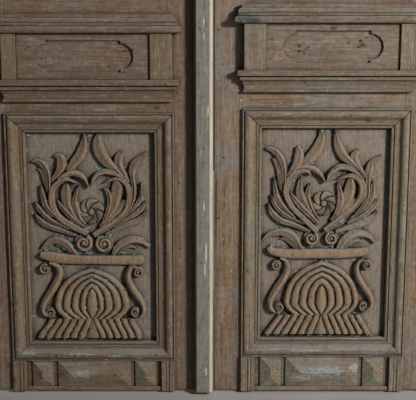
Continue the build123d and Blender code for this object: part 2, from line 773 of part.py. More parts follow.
def cover_strip():
    """The strip that covers the meeting edges, bevelled on its left and beaded on its right."""
    right = left_leaf_reach
    left = right - strip_width
    t = strip_thickness
    section = outline([
        (left, 0), (right, 0), (right - 2, -t + 12, -2), (right - 8, -t + 1.5), (right - 9.5, -t),
        (left + 5, -t), (left, -t + 7),
    ])
    strip = upright(section, leaf_foot, head_rebate - stop_lap - edge_gap)
    worn = strip.edges().group_by(Axis.Z)[0].group_by(Axis.Y)[0]
    return Pos(0, front_face, 0) * fillet(worn, strip_foot_round)


def glazing_bars(side):
    """Cross bars of the light, rebated for the panes above and below."""
    bars = []
    for low in pane_lows[1:]:
        u0 = hinge_stile_width
        bar = leaf_block(side, u0, u0 + panel_opening_width, front_face, back_face, low - glazing_bar_width, low)
        for cut in glass_rebates(side):
            bar -= cut
        bars.append(bar)
    return bars


def panes(side):
    """The sheets of glass, a little smaller than their rebates."""
    margin = glass_rebate - glass_clearance
    y0 = front_face + glass_front
    sheets = []
    for low in pane_lows:
        u0 = hinge_stile_width - margin
        u1 = hinge_stile_width + panel_opening_width + margin
        sheets.append(leaf_block(side, u0, u1, y0, y0 + glass_thickness, low - margin, low + pane_height + margin))
    return sheets


def glazing_beads(side):
    """Four bevelled beads behind each pane."""
    y0 = front_face + glass_front + glass_thickness
    y1 = y0 + bead_thickness
    bevel = outline([(0, y0), (bead_width, y0), (bead_width, y0 + 4), (0, y1)])
    u0 = hinge_stile_width - glass_rebate
    u1 = hinge_stile_width + panel_opening_width + glass_rebate
    sign = side_sign[side]
    beads = []
    for low in pane_lows:
        z0 = low - glass_rebate
        z1 = low + pane_height + glass_rebate
        tall = upright(bevel, z0, z1)
        x0 = sign * (hinge_edge - u0)
        x1 = sign * (hinge_edge - u1)
        beads.append(Pos(min(x0, x1), 0, 0) * tall)
        beads.append(Pos(max(x0, x1), 0, 0) * mirror(tall, Plane.YZ))
        level = extrude(Plane.XY * bevel, amount=abs(x1 - x0) - 2 * bead_width)
        level = Rot(Y=90) * level
        start = Pos(min(x0, x1) + bead_width, 0, 0)
        beads.append(start * Pos(0, 0, z1) * level)
        beads.append(start * Pos(0, 0, z0) * mirror(level, Plane.XY))
    return beads


def jamb(side):
    """A rebated upright of the frame, with its fixing holes and hinge housings."""
    sign = side_sign[side]
    rebate = opening_width / 2
    outer = rebate + frame_thickness
    stop_face = front_face - stop_gap
    front = stop_face - frame_front
    points = [
        (rebate, back_face), (outer, back_face), (outer, front), (rebate - stop_lap, front),
        (rebate - stop_lap, stop_face), (rebate, stop_face),
    ]
    body = upright(outline(points), 0, head_rebate)
    if sign < 0:
        body = mirror(body, Plane.YZ)
    body -= block(sign * (rebate - stop_lap), sign * outer, front, stop_face, head_rebate - stop_lap, head_rebate)
    for height in jamb_hole_heights:
        middle = sign * (rebate + frame_thickness / 2)
        body -= Pos(middle, 0, height) * Rot(Y=90) * Cylinder(jamb_hole_radius, 2 * frame_thickness)
    for plate in jamb_plates(side):
        body -= plate
    return body


def head():
    """The rebated cross piece that sits on both jambs."""
    outer = opening_width / 2 + frame_thickness
    stop_face = front_face - stop_gap
    front = stop_face - frame_front
    top = head_rebate + frame_thickness
    section = outline([
        (back_face, head_rebate), (back_face, top), (front, top), (front, head_rebate - stop_lap),
        (stop_face, head_rebate - stop_lap), (stop_face, head_rebate),
    ])
    return extrude(Plane.YZ * section, amount=outer, both=True)


def on_hinge_axis(side, low):
    """The place on a hinge's axis at a given height."""
    return Pos(side_sign[side] * (hinge_edge + edge_gap / 2), hinge_axis_y, low)


def barrel(side, low, high):
    """The barrel of a hinge. Its round form is drawn with flats, as all six hinges repeat it."""
    return on_hinge_axis(side, low) * extrude(RegularPolygon(knuckle_radius, barrel_flat_count), amount=high - low)


def pin_room(side, low, high):
    """The hole in the upper barrel, with flats that clear the round pin."""
    hole = RegularPolygon(pin_radius + running_gap, barrel_flat_count, major_radius=False)
    return on_hinge_axis(side, low) * extrude(hole, amount=high - low)


def hinge_pin(side, low, high):
    """The round pin that stands in the lower barrel."""
    return on_hinge_axis(side, low) * extrude(Circle(pin_radius), amount=high - low)


def hinge_web(side, u0, low, high):
    """The short neck that joins a hinge's plate to its barrel."""
    sign = side_sign[side]
    x0 = sign * (hinge_edge + u0)
    x1 = sign * (hinge_edge + u0 + hinge_plate_thickness)
    return block(x0, x1, back_face, hinge_axis_y - pin_radius - 1, low, high)


def hinge_sockets(side):
    """The upper halves of the hinges, on the leaf: plate, neck and a barrel bored from below."""
    halves = []
    for height, plate in zip(hinge_heights, leaf_plates(side)):
        low = height + bearing_gap
        high = height + hinge_height / 2
        half = plate + hinge_web(side, -hinge_plate_thickness, low, high)
        half += barrel(side, low, high)
        half -= pin_room(side, low, height + pin_length + 1)
        halves.append(half)
    return halves


def hinge_pintles(side):
    """The lower halves of the hinges, on the jamb: plate, neck, barrel and a fixed pin."""
    halves = []
    for height, plate in zip(hinge_heights, jamb_plates(side)):
        low = height - hinge_height / 2
        half = plate + hinge_web(side, edge_gap, low, height)
        half += barrel(side, low, height)
        half += hinge_pin(side, height, height + pin_length)
        halves.append(half)
    return halves


# The long bolt on the room side of the right leaf
rod_y = back_face + rod_lift + rod_width / 2
case_low = lever_height - case_height / 2
case_high = lever_height + case_height / 2
rod_in_case = bolt_throw + rod_hold
keeper_low = head_rebate + edge_gap


def square_bar(x, y, width, low, high):
    """An upright square bar."""
    return block(x - width / 2, x + width / 2, y - width / 2, y + width / 2, low, high)


def gear_case():
    """The closed box of the bolt's gear, with sockets for the rods and a hole for the spindle."""
    body = block(
        lever_x - case_width / 2, lever_x + case_width / 2, back_face, back_face + case_depth, case_low, case_high
    )
    body = chamfer(body.faces().sort_by(Axis.Y)[-1].edges(), 3)
    for low, high in ((case_high - rod_in_case - 1, case_high + 1), (case_low - 1, case_low + rod_in_case + 1)):
        body -= square_bar(lever_x, rod_y, rod_width + 2 * rod_clearance, low, high)
    return body - spindle_bore()


def guide(x, low, high, bar_width, bar_depth, bar_lift):
    """A staple that holds a sliding bar against the leaf."""
    front = back_face + bar_lift + bar_depth
    outer = block(x - guide_width / 2, x + guide_width / 2, back_face, front + guide_wall + rod_clearance, low, high)
    half = bar_width / 2 + rod_clearance
    return outer - block(x - half, x + half, back_face + bar_lift - rod_clearance, front + rod_clearance, low - 1, high + 1)


def rod_guides():
    """Staples for the long bolt, at the foot, the middle and the head of both rods."""
    foot_guide = leaf_foot + guide_inset
    head_guide = leaf_head - guide_inset - guide_height
    heights = (foot_guide, (foot_guide + case_low) / 2, (case_high + head_guide) / 2, head_guide)
    return [guide(lever_x, z, z + guide_height, rod_width, rod_width, rod_lift) for z in heights]


def rod(low, high):
    """One of the two rods of the long bolt."""
    return square_bar(lever_x, rod_y, rod_width, low, high)


def keeper(x, bar_width, bar_depth, bar_lift):
    """A staple on the head, open towards it, that a bar rises into."""
    staple = guide(x, keeper_low, keeper_low + keeper_height, bar_width, bar_depth, bar_lift)
    half = bar_width / 2 + rod_clearance
    return staple - block(x - half, x + half, back_face, back_face + bar_lift, keeper_low, keeper_low + keeper_height)


def head_keepers():
    """The staples of the long bolt and the top bolt."""
    return [
        keeper(lever_x, rod_width, rod_width, rod_lift),
        keeper(short_bolt_x, rod_width, short_bar_depth, short_bar_lift),
    ]


def lever(sign):
    """A forged lever: a stout neck and a tapered grip that ends in a soft hook."""
    start = sign * (back_face + (case_depth if sign > 0 else front_plate_thickness) + rod_clearance)
    y_end = sign * lever_reach
    y_arm = y_end - sign * lever_thickness
    neck = Pos(lever_x, start, lever_height) * Rot(X=-90 * sign)
    neck = neck * extrude(RegularPolygon(lever_neck_radius, barrel_flat_count), amount=abs(y_end - start))
    shape = make_face(Polyline(
        (-8, -6), (-8, 6), (0, 9), (40, 6), (lever_length - 14, 5), (lever_length - 4, 8), (lever_length, 4),
        (lever_length - 4, -3), (lever_length - 16, -7), (40, -6), (0, -9), close=True
    ))
    arm = extrude(Plane.XZ * shape, amount=lever_thickness / 2, both=True)
    body = neck + Pos(lever_x, (y_arm + y_end) / 2, lever_height) * arm
    half = spindle_width / 2
    return body - block(lever_x - half, lever_x + half, start, y_arm, lever_height - half, lever_height + half)


def spindle():
    """The square spindle through the leaf, from one lever's socket to the other's."""
    half = spindle_width / 2
    reach = lever_reach - lever_thickness
    return block(lever_x - half, lever_x + half, -reach, reach, lever_height - half, lever_height + half)


def front_plate():
    """The oblong plate behind the front lever, its corners cut off."""
    plate = block(
        lever_x - front_plate_width / 2, lever_x + front_plate_width / 2,
        front_face - front_plate_thickness, front_face,
        lever_height - front_plate_height / 2, lever_height + front_plate_height / 2,
    )
    return chamfer(plate.edges().filter_by(Axis.Y), front_plate_width / 5) - spindle_bore()


# The short bolts on the room side of the left leaf
short_bolt_x = left_leaf_reach - short_bolt_offset
short_bar_lift = short_plate_thickness + rod_clearance


def short_bolt(head_end):
    """A flat sliding bolt with a knob, drawn back into the leaf."""
    y0 = back_face + short_bar_lift
    y1 = y0 + short_bar_depth
    half = rod_width / 2
    low = leaf_head - short_bolt_length if head_end else leaf_foot
    knob_z = low + short_bolt_length * (knob_share if head_end else 1 - knob_share)
    high = low + short_bolt_length
    bar = block(short_bolt_x - half, short_bolt_x + half, y0, y1, low, high)
    knob = extrude(RegularPolygon(knob_width / 2, barrel_flat_count), amount=knob_stand)
    return bar + Pos(short_bolt_x, y1, knob_z) * Rot(X=-90) * knob


def short_bolt_plate(head_end):
    """The backplate of a short bolt, with its two staples."""
    low = leaf_foot + short_plate_inset
    if head_end:
        low = leaf_head - short_plate_inset - short_plate_length
    high = low + short_plate_length
    half = guide_width / 2
    plate = block(short_bolt_x - half, short_bolt_x + half, back_face, back_face + short_plate_thickness, low, high)
    for z in (low + staple_inset, high - staple_inset - guide_height):
        plate += guide(short_bolt_x, z, z + guide_height, rod_width, short_bar_depth, short_bar_lift)
    return plate


parts = {}
for side in side_sign:
    inner = hinge_stile_width + panel_opening_width
    parts[side + "_hinge_stile"] = stile(side, 0, hinge_stile_width)
    parts[side + "_meeting_stile"] = meeting_stile(side)
    for name in rail_sizes(side):
        parts[side + "_" + name] = rail(side, name)
    parts[side + "_carved_panel"] = place_panel(side)
    parts[side + "_panel_moulding"] = panel_moulding(side)
    parts[side + "_plinth_posts"] = plinth_posts(side)
    parts[side + "_plinth_blocks"] = plinth_blocks(side)
    parts[side + "_plinth_strip"] = plinth_strip(side)
    parts[side + "_lower_cornice"] = lower_cornice(side)
    parts[side + "_frieze_board"] = frieze_board(side)
    parts[side + "_frieze_blocks"] = frieze_blocks(side)
    parts[side + "_upper_cornice"] = upper_cornice(side)
    parts[side + "_glazing_bars"] = glazing_bars(side)
    parts[side + "_glass"] = panes(side)
    parts[side + "_glazing_beads"] = glazing_beads(side)
    parts[side + "_hinge_sockets"] = hinge_sockets(side)
    parts[side + "_hinge_pintles"] = hinge_pintles(side)
    parts[side + "_jamb"] = jamb(side)
parts["frame_head"] = head()
parts["cover_strip"] = cover_strip()
parts["bolt_case"] = gear_case()
parts["upper_rod"] = rod(case_high - rod_in_case, leaf_head)
parts["lower_rod"] = rod(leaf_foot, case_low + rod_in_case)
parts["rod_guides"] = rod_guides()
parts["front_lever"] = lever(-1)
parts["back_lever"] = lever(1)
parts["spindle"] = spindle()
parts["front_plate"] = front_plate()
parts["head_keepers"] = head_keepers()
parts["top_bolt"] = short_bolt(True)
parts["bottom_bolt"] = short_bolt(False)
parts["bolt_plates"] = [short_bolt_plate(True), short_bolt_plate(False)]

os.makedirs("parts", exist_ok=True)
for name, shape in parts.items():
    solids = Compound(shape) if isinstance(shape, list) else shape
    export_step(solids, "parts/" + name + ".step")
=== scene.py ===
import json
import math
import random
from itertools import product

import bmesh
import bpy
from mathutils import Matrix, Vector, noise
from mathutils.bvhtree import BVHTree

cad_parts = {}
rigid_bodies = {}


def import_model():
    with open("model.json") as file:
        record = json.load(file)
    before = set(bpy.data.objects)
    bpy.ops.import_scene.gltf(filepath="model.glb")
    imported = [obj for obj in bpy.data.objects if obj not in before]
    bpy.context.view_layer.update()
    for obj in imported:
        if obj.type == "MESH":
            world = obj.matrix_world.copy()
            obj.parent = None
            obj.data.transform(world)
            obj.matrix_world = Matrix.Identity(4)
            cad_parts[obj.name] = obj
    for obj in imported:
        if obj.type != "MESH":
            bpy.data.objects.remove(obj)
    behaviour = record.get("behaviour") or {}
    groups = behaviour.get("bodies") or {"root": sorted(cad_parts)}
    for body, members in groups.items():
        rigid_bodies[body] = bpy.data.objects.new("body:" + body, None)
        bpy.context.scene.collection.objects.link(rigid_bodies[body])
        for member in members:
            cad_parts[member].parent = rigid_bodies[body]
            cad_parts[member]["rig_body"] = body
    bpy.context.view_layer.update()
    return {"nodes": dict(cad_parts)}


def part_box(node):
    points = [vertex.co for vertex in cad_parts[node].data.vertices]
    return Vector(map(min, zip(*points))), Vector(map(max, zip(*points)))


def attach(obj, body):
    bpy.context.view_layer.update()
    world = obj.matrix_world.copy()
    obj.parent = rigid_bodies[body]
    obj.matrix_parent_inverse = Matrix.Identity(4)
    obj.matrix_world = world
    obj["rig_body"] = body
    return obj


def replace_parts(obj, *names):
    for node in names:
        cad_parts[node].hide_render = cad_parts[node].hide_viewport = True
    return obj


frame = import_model()
scene = bpy.context.scene

# Jambs and head of the doorway
# Three rebated lengths of the same old pine as the doors, screwed to the wall through the jambs.
# The photograph stops short of them, so they are finished plainly.


def linear(code):
    """A hex colour as it is seen, turned into the linear numbers that a shader takes."""
    parts = [int(code[i : i + 2], 16) / 255 for i in (1, 3, 5)]
    return [p / 12.92 if p <= 0.04045 else ((p + 0.055) / 1.055) ** 2.4 for p in parts] + [1]


def add(tree, kind, settings=None, links=()):
    """Adds a node, of a kind and maybe an operation. Mixes are of colours, which are given as hex codes.

    A link is its own input, the node that it comes from, and that node's output or else its first one.
    """
    kind, _, operation = kind.partition(" ")
    made = tree.nodes.new("ShaderNode" + kind)
    if operation:
        made.operation = operation
    if kind == "Mix":
        made.data_type = "RGBA"
    for name, value in (settings or {}).items():
        value = linear(value) if str(value).startswith("#") else value
        if isinstance(name, int) or name in made.inputs:
            made.inputs[name].default_value = value
        else:
            setattr(made, name, value)
    for socket, source, *output in links:
        tree.links.new(source.outputs[output[0] if output else 0], made.inputs[socket])
    return made


def tinted(tree, under, *coats):
    """Lays colours over another. Each starts at one value of a node's output, is full at another, and so thick."""
    for code, source, output, start, full, most in coats:
        mask = add(tree, "MapRange", {"From Min": start, "From Max": full, "To Max": most},
                   [("Value", source, output)])
        under = add(tree, "Mix", {7: code}, [(0, mask), (6, under, 2)])
    return under


def blank(name):
    """An empty material and its node tree."""
    material = bpy.data.materials.new(name)
    material.use_nodes = True
    material.node_tree.nodes.clear()
    return material, material.node_tree


def pine(name, along, light="#87745f", dark="#57473a", grey="#747576", paint=0.25, grime_and_shade=0.75, boards=True,
         coat=None, rings=0.17, reach=0.02, bite=0.0009):
    """Old stripped pine: dull, open-grained and greyed, with dirt and paint left in the hollows, which are also
    darkened as painted shade.
    """
    material, tree = blank(name)
    place = add(tree, "TexCoord")
    piece = add(tree, "NewGeometry")
    # Each board comes from another part of the trunk.
    shift = add(tree, "VectorMath SCALE", {0: (9.1, 5.3, 7.7) if boards else (0, 0, 0)},
                [("Scale", piece, "Random Per Island")])
    shifted = add(tree, "VectorMath ADD", None, [(0, place, "Object"), (1, shift)])
    turn = (0, 0, 0) if along == "z" else (0, math.radians(90), 0)
    board = add(tree, "Mapping", {"Rotation": turn}, [("Vector", shifted)])
    stretch = add(tree, "VectorMath MULTIPLY", {1: (1, 1, 0.07)}, [(0, board)])
    hair = add(tree, "VectorMath MULTIPLY", {1: (1, 1, 0.018)}, [(0, board)])
    # Scales are per metre: 430 gives 2 mm. Fibres are half a millimetre wide and are drawn at 2 mm so that
    # they show. The sweep bends the rings, and the rest are streaks, blotches, stains, crumbs and dashes.
    sweep, fibre, streak, blotch, stain, crumb, dash = [
        add(tree, "TexNoise", {"Scale": scale, "Detail": detail, "Roughness": rough}, [("Vector", where)])
        for scale, detail, rough, where in (
            (7, 2, 0.5, stretch), (430, 3, 0.7, hair), (70, 4, 0.6, hair), (6, 5, 0.6, shifted),
            (13, 6, 0.65, shifted), (90, 6, 0.62, shifted), (260, 3, 0.6, stretch))]
    # Knots run through the board, a hand or two apart, and the rings swell round them.
    split = add(tree, "SeparateXYZ", None, [(0, board)])
    halved = add(tree, "Math MULTIPLY", {1: 0.5}, [(0, split, "Z")])
    flat = add(tree, "CombineXYZ", None, [("X", split, "X"), ("Y", halved)])
    knot = add(tree, "TexVoronoi", {"Scale": 5.5, "voronoi_dimensions": "2D"}, [("Vector", flat)])
    swell = add(tree, "MapRange", {"interpolation_type": "SMOOTHSTEP", "From Min": 0.2, "From Max": 0, "To Max": 1.6},
                [("Value", knot, "Distance")])
    # Rings about 9 mm apart where the saw cut them flat, bending slowly along the board.
    across = add(tree, "Math MULTIPLY", {1: 110}, [(0, split, "X")])
    deep_in = add(tree, "Math MULTIPLY_ADD", {1: 60}, [(0, split, "Y"), (2, across)])
    bent = add(tree, "Math MULTIPLY_ADD", {1: 12}, [(0, sweep, "Fac"), (2, deep_in)])
    parted = add(tree, "Math ADD", None, [(0, bent), (1, swell)])
    ring = add(tree, "Math FRACT", None, [(0, parted)])
    late = add(tree, "MapRange", {"From Min": 0.3, "From Max": 0.95}, [("Value", ring)])
    late_edge = add(tree, "Math POWER", {1: 2.5}, [(0, late)])
    grain = add(tree, "Math MULTIPLY_ADD", {1: rings}, [(0, late_edge), (2, fibre, "Fac")])
    streaked = add(tree, "Math MULTIPLY_ADD", {1: 0.7}, [(0, streak, "Fac"), (2, grain)])
    depth = add(tree, "MapRange", {"From Min": 0.72, "From Max": 1.18}, [("Value", streaked)])
    wood = add(tree, "Mix", {6: light, 7: dark}, [(0, depth)])
    ragged = add(tree, "Math MULTIPLY_ADD", {1: 0.02}, [(0, fibre, "Fac"), (2, knot, "Distance")])
    pit = add(tree, "TexVoronoi", {"Scale": 42}, [("Vector", shifted)])
    split_place = add(tree, "SeparateXYZ", None, [(0, place, "Object")])
    # Knots, shakes along the fibres, stains of hands and rain, pits of worm and knocks, and the grey of age.
    # The left leaf is tinted darker than the right one, as painted shade for light that falls off towards the left.
    wood = tinted(tree, wood, ("#33261b", ragged, 0, 0.045, 0.028, 0.85), ("#3a2e23", streak, "Fac", 0.63, 0.68, 0.7),
                  ("#60432b", stain, "Fac", 0.5, 0.72, 0.6), ("#2a2119", pit, "Distance", 0.085, 0.05, 0.85),
                  (grey, blotch, "Fac", 0.42, 0.66, 0.8), ("#604b38", split_place, "X", 0.015, -0.035, 0.42))
    if coat:
        wood = coat(tree, place, wood, streaked, blotch)
    # Dust lies on whatever faces up, and the open grain has filled with dirt and dust in small flecks.
    facing = add(tree, "SeparateXYZ", None, [(0, place, "Normal")])
    lying = add(tree, "Math MULTIPLY_ADD", {1: 0.35}, [(0, blotch, "Fac"), (2, facing, "Z")])
    flecky = add(tree, "Math MULTIPLY", None, [(0, crumb, "Fac"), (1, dash, "Fac")])
    # Dirt and old paint stay in the hollows, and their near-black darkening is painted shade as well as dirt.
    hollow = add(tree, "AmbientOcclusion", {"samples": 8, "Distance": reach})
    deep = add(tree, "MapRange", {"From Min": 0.86, "From Max": 0.35}, [("Value", hollow, "AO")])
    wood = tinted(tree, wood, ("#868a8e", lying, 0, 0.35, 0.85, 0.62), ("#463c31", flecky, 0, 0.27, 0.36, 0.45),
                  ("#9a9185", flecky, 0, 0.22, 0.15, 0.4), ("#21180f", deep, 0, 0, 1, grime_and_shade))
    patchy = add(tree, "Math MULTIPLY_ADD", {1: 0.22}, [(0, blotch, "Fac"), (2, crumb, "Fac")])
    held = add(tree, "Math MULTIPLY_ADD", {1: 0.16}, [(0, deep), (2, patchy)])
    low = 0.905 - 0.15 * paint
    chips = add(tree, "MapRange", {"From Min": low, "From Max": low + 0.05, "To Max": 0.8}, [("Value", held)])
    tint = add(tree, "Mix", {6: "#579a96", 7: "#a9bec2"}, [(0, fibre, "Fac")])
    painted = add(tree, "Mix", None, [(0, chips), (6, wood, 2), (7, tint, 2)])
    fleck = add(tree, "TexVoronoi", {"Scale": 30}, [("Vector", place, "Object")])
    uneven = add(tree, "Math MULTIPLY_ADD", {1: -0.16}, [(0, crumb, "Fac"), (2, fleck, "Distance")])
    painted = tinted(tree, painted, ("#93a6a4", uneven, 0, -0.01, -0.04, 0.7))
    rough = add(tree, "Math MULTIPLY_ADD", {1: 1.4}, [(0, crumb, "Fac"), (2, streaked)])
    relief = add(tree, "Bump", {"Strength": 0.6, "Distance": bite}, [("Height", rough)])
    shader = add(tree, "BsdfPrincipled", {"Roughness": 0.74, "IOR": 1.45},
                 [("Base Color", painted, 2), ("Normal", relief)])
    add(tree, "OutputMaterial", None, [(0, shader)])
    return material


def ready(name, shape, materials, body, angle=35, outwards=True):
    """A new piece from a mesh in the making, shaded smooth up to an angle, riding on a body."""
    if outwards:
        bmesh.ops.recalc_face_normals(shape, faces=shape.faces)
    mesh = bpy.data.meshes.new(name)
    shape.to_mesh(mesh)
    shape.free()
    for material in materials:
        mesh.materials.append(material)
    for face in mesh.polygons:
        face.use_smooth = True
    mesh.set_sharp_from_angle(angle=math.radians(angle))
    piece = bpy.data.objects.new(name, mesh)
    scene.collection.objects.link(piece)
    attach(piece, body)
    return piece


def eased(node, edge, materials, length_of=None, angle=35):
    """A copy of a node with its edges worn round. length_of tells apart the mitred lengths that touch."""
    source = frame["nodes"][node]
    shape = bmesh.new()
    shape.from_mesh(source.data)
    if length_of:
        lengths = {}
        for face in shape.faces:
            inside = face.calc_center_median() - face.normal * 0.0005
            lengths.setdefault(length_of(inside), []).append(face)
        for number, faces in lengths.items():
            for face in faces:
                face.material_index = number % len(materials)
            bmesh.ops.split(shape, geom=faces, use_only_faces=True)
        for number, faces in lengths.items():
            corners = list({corner for face in faces if face.is_valid for corner in face.verts})
            bmesh.ops.remove_doubles(shape, verts=corners, dist=1e-6)
    else:
        bmesh.ops.remove_doubles(shape, verts=shape.verts, dist=1e-6)
    bmesh.ops.dissolve_limit(shape, angle_limit=math.radians(1), verts=shape.verts, edges=shape.edges)
    piece = ready(node + "_worn", shape, materials, source["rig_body"], angle, False)
    if edge:
        bevel = piece.modifiers.new("worn_edges", "BEVEL")
        bevel.width = edge
        bevel.segments = 2
        bevel.limit_method = "ANGLE"
        bevel.angle_limit = math.radians(angle)
        bevel.harden_normals = True
    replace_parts(piece, node)
    return piece


upright = pine("stripped_pine_upright", "z")
level = pine("stripped_pine_level", "x")
for node in ("left_jamb", "right_jamb"):
    eased(node, 0.0012, [upright])
eased("frame_head", 0.0012, [level])

# Stiles and rails of the two leaves
# Pine uprights 45 mm thick, with tenoned cross rails. They were stripped of their paint and have
# greyed, with dark dirt and painted shade along every joint.


def marks(places, code, raggedness=0.5, cover=0.85):
    """A coat that leaves ragged marks of colour at places given in mm: across, up, half width, half height."""

    def coat(tree, place, wood, *grain):
        nearest = None
        for across, up, wide, tall in places:
            away = add(tree, "VectorMath SUBTRACT", {1: (across / 1000, 0, up / 1000)}, [(0, place, "Object")])
            sized = add(tree, "VectorMath MULTIPLY", {1: (1000 / wide, 0, 1000 / tall)}, [(0, away)])
            length = add(tree, "VectorMath LENGTH", None, [(0, sized)])
            nearest = add(tree, "Math MINIMUM", None, [(0, nearest or length, "Value"), (1, length, "Value")])
        ragged = add(tree, "TexNoise", {"Scale": 160, "Detail": 5, "Roughness": 0.7}, [("Vector", place, "Object")])
        edge = add(tree, "Math MULTIPLY_ADD", {1: 2 * raggedness, 2: -raggedness}, [(0, ragged, "Fac")])
        uneven = add(tree, "Math ADD", None, [(0, nearest, "Value"), (1, edge)])
        return tinted(tree, wood, (code, uneven, 0, 1.0, 0.55, cover))

    return coat


def layers(*coats):
    """A coat made of several, the last one on top."""

    def coat(tree, place, wood, *grain):
        for layer in coats:
            wood = layer(tree, place, wood, *grain)
        return wood

    return coat


shakes = marks([(43, 538, 1.3, 20), (42, 504, 1.3, 11), (41, 449, 1.4, 9), (41, 410, 1.6, 14), (39, 626, 5, 4),
                (26, 470, 5, 3.5), (27, 943, 4, 3), (35, 860, 3, 3), (-39, 685, 3, 5), (-128, 751, 9, 4),
                (383, 751, 7, 4)], "#2b1f17", 0.5, 0.9)
paint_flecks = marks([(53, 449, 2, 2), (41, 436, 2, 2), (19, 454, 1.5, 1.5), (39, 415, 2, 2), (83, 771, 4, 2),
                      (60, 330, 2, 2), (50, 700, 1.5, 2)], "#a9b3b0", 0.5, 0.9)
rubbed = marks([(-421, 759, 30, 4), (-334, 741, 40, 3), (-271, 746, 20, 4), (230, 761, 26, 3), (330, 757, 40, 2),
                (36, 250, 8, 60), (-70, 560, 3, 50)], "#9a958c", 2.4, 0.4)
stile_wood = pine("pine_stile", "z", coat=layers(shakes, paint_flecks, rubbed))
rail_wood = pine("pine_rail", "x", coat=layers(shakes, rubbed))
for side in ("left", "right"):
    for node in ("hinge_stile", "meeting_stile"):
        eased(f"{side}_{node}", 0.001, [stile_wood])
    for node in ("bottom_rail", "lock_rail", "top_rail"):
        eased(f"{side}_{node}", 0.0006, [rail_wood])

# Carved panels
# One pine board in each leaf, held in a groove all round. The ornament was cut from the board
# with gouges: foliage and a rosette over a beam, then a closed bud between two scrolls on slats.
panel_middle = {"left": (-299, 414), "right": (299, 425)}
board_face = -4.5
board_half_width, board_half_height, board_thickness = 204, 316, 16
ground_half_width, ground_half_height = 193, 305
relief = 17
wander, unevenness = 0.7, 0.9
# Each panel was cut by hand, so each has its own strokes, in millimetres from its middle: points up the middle
# of a stroke, from foot to tip, with x and y in turn, and its widths at even steps.
left_stems = [
    ((-11, 13, -50, 33, -85, 58, -101, 93, -98, 130, -76, 151, -56, 154, -36, 145), (16, 18, 18, 14, 6)),
    ((5, 10, 50, 38, 84, 67, 96, 95, 97, 124, 88, 146, 66, 158, 35, 148), (16, 18, 17, 14, 5)),
    ((-84, 154, -72, 162, -49, 171, -30, 167, -15, 155, -5, 133), (6, 14, 17, 12, 2)),
    ((92, 148, 72, 165, 52, 173, 35, 175, 19, 170, 7, 158, 1, 142), (6, 13, 15, 12, 3)),
    ((-112, -64, -99, -68, -89, -77, -86, -92, -91, -108, -102, -129, -116, -151, -128, -170, -133, -186, -129, -201,
      -118, -208), (10, 18, 21, 17, 9)),
    ((113, -70, 99, -76, 92, -91, 92, -109, 100, -129, 112, -149, 124, -168, 131, -185, 129, -200, 119, -210),
     (10, 17, 18, 15, 8)),
]
right_stems = [
    ((-19, 8, -61, 49, -79, 66, -93, 87, -100, 107, -99, 128, -89, 150, -70, 162, -51, 166, -36, 156),
     (15, 15, 17, 15, 8)),
    ((1, 12, 45, 48, 65, 63, 82, 81, 93, 100, 96, 119, 91, 138, 78, 150, 61, 154, 31, 146), (14, 15, 21, 18, 6)),
    ((-78, 170, -62, 175, -43, 175, -24, 167, -10, 153, 1, 135), (8, 14, 17, 12, 3)),
    ((96, 146, 82, 160, 66, 170, 50, 176, 33, 175, 18, 166, 7, 152, 2, 136), (5, 12, 16, 12, 3)),
    ((-112, -62, -99, -69, -94, -86, -98, -106, -109, -126, -121, -145, -132, -165, -138, -183, -134, -199, -122,
      -209), (9, 17, 20, 17, 9)),
    ((103, -64, 90, -74, 86, -92, 90, -111, 101, -131, 113, -149, 124, -167, 128, -183, 123, -196, 112, -205),
     (8, 15, 17, 15, 8)),
]
left_leaves = [
    ((-58, 176, -41, 198, -24, 220, -15, 250, -15, 273), (14, 22, 24, 16, 2)),
    ((92, 153, 73, 170, 57, 185, 36, 206, 22, 232, 19, 256, 21, 274), (8, 14, 25, 26, 3)),
    ((-107, 125, -108, 166, -114, 183, -125, 197, -139, 202, -152, 201), (8, 13, 16, 12, 3)),
    ((-100, 152, -86, 168, -76, 183, -73, 197, -76, 209, -83, 215, -93, 214), (8, 17, 25, 17, 5)),
    ((96, 148, 84, 170, 73, 189, 71, 205, 76, 219, 82, 227), (8, 14, 21, 18, 3)),
    ((82, 62, 99, 83, 108, 106, 110, 130, 107, 155, 106, 174, 112, 194, 125, 210, 143, 226), (6, 10, 12, 19, 2)),
    ((-76, 42, -91, 57, -106, 72, -118, 89, -126, 122, -128, 141), (6, 11, 14, 13, 2)),
    ((-58, 25, -92, 42, -112, 54, -127, 69, -137, 83, -144, 97), (5, 10, 12, 12, 2)),
    ((-37, 7, -80, 23, -101, 30, -121, 39, -136, 52, -145, 66), (6, 12, 14, 13, 2)),
    ((68, 46, 94, 67, 108, 80, 120, 94, 127, 110, 128, 147), (5, 8, 10, 11, 3)),
    ((56, 31, 89, 51, 106, 61, 121, 72, 132, 85, 138, 99), (5, 10, 13, 12, 3)),
    ((36, 12, 79, 33, 98, 40, 117, 48, 131, 59, 142, 75), (7, 14, 15, 12, 3)),
    ((-31, 44, -46, 61, -56, 78, -63, 95, -64, 130, -61, 146), (6, 12, 18, 24, 8)),
    ((-18, 38, -32, 56, -38, 73, -42, 90, -42, 107, -31, 141), (8, 13, 18, 14, 3)),
    ((-18, 31, -40, 47, -54, 59, -67, 72, -78, 85, -88, 100), (6, 12, 14, 12, 6)),
    ((22, 34, 32, 48, 38, 62, 47, 92, 47, 109, 41, 123, 31, 133), (6, 9, 11, 13, 3)),
    ((24, 36, 35, 50, 46, 66, 57, 83, 66, 121, 66, 140, 61, 154), (6, 14, 21, 27, 10)),
    ((22, 31, 37, 46, 52, 60, 66, 75, 77, 88, 87, 102), (8, 15, 16, 15, 8)),
    ((-42, -42, -55, -27, -66, -15, -79, -7, -94, -3, -110, -8, -123, -18, -132, -28), (9, 17, 19, 15, 3)),
    ((54, -42, 60, -29, 70, -17, 84, -8, 101, -3, 119, -4, 135, -12, 149, -24), (9, 16, 19, 15, 3)),
]
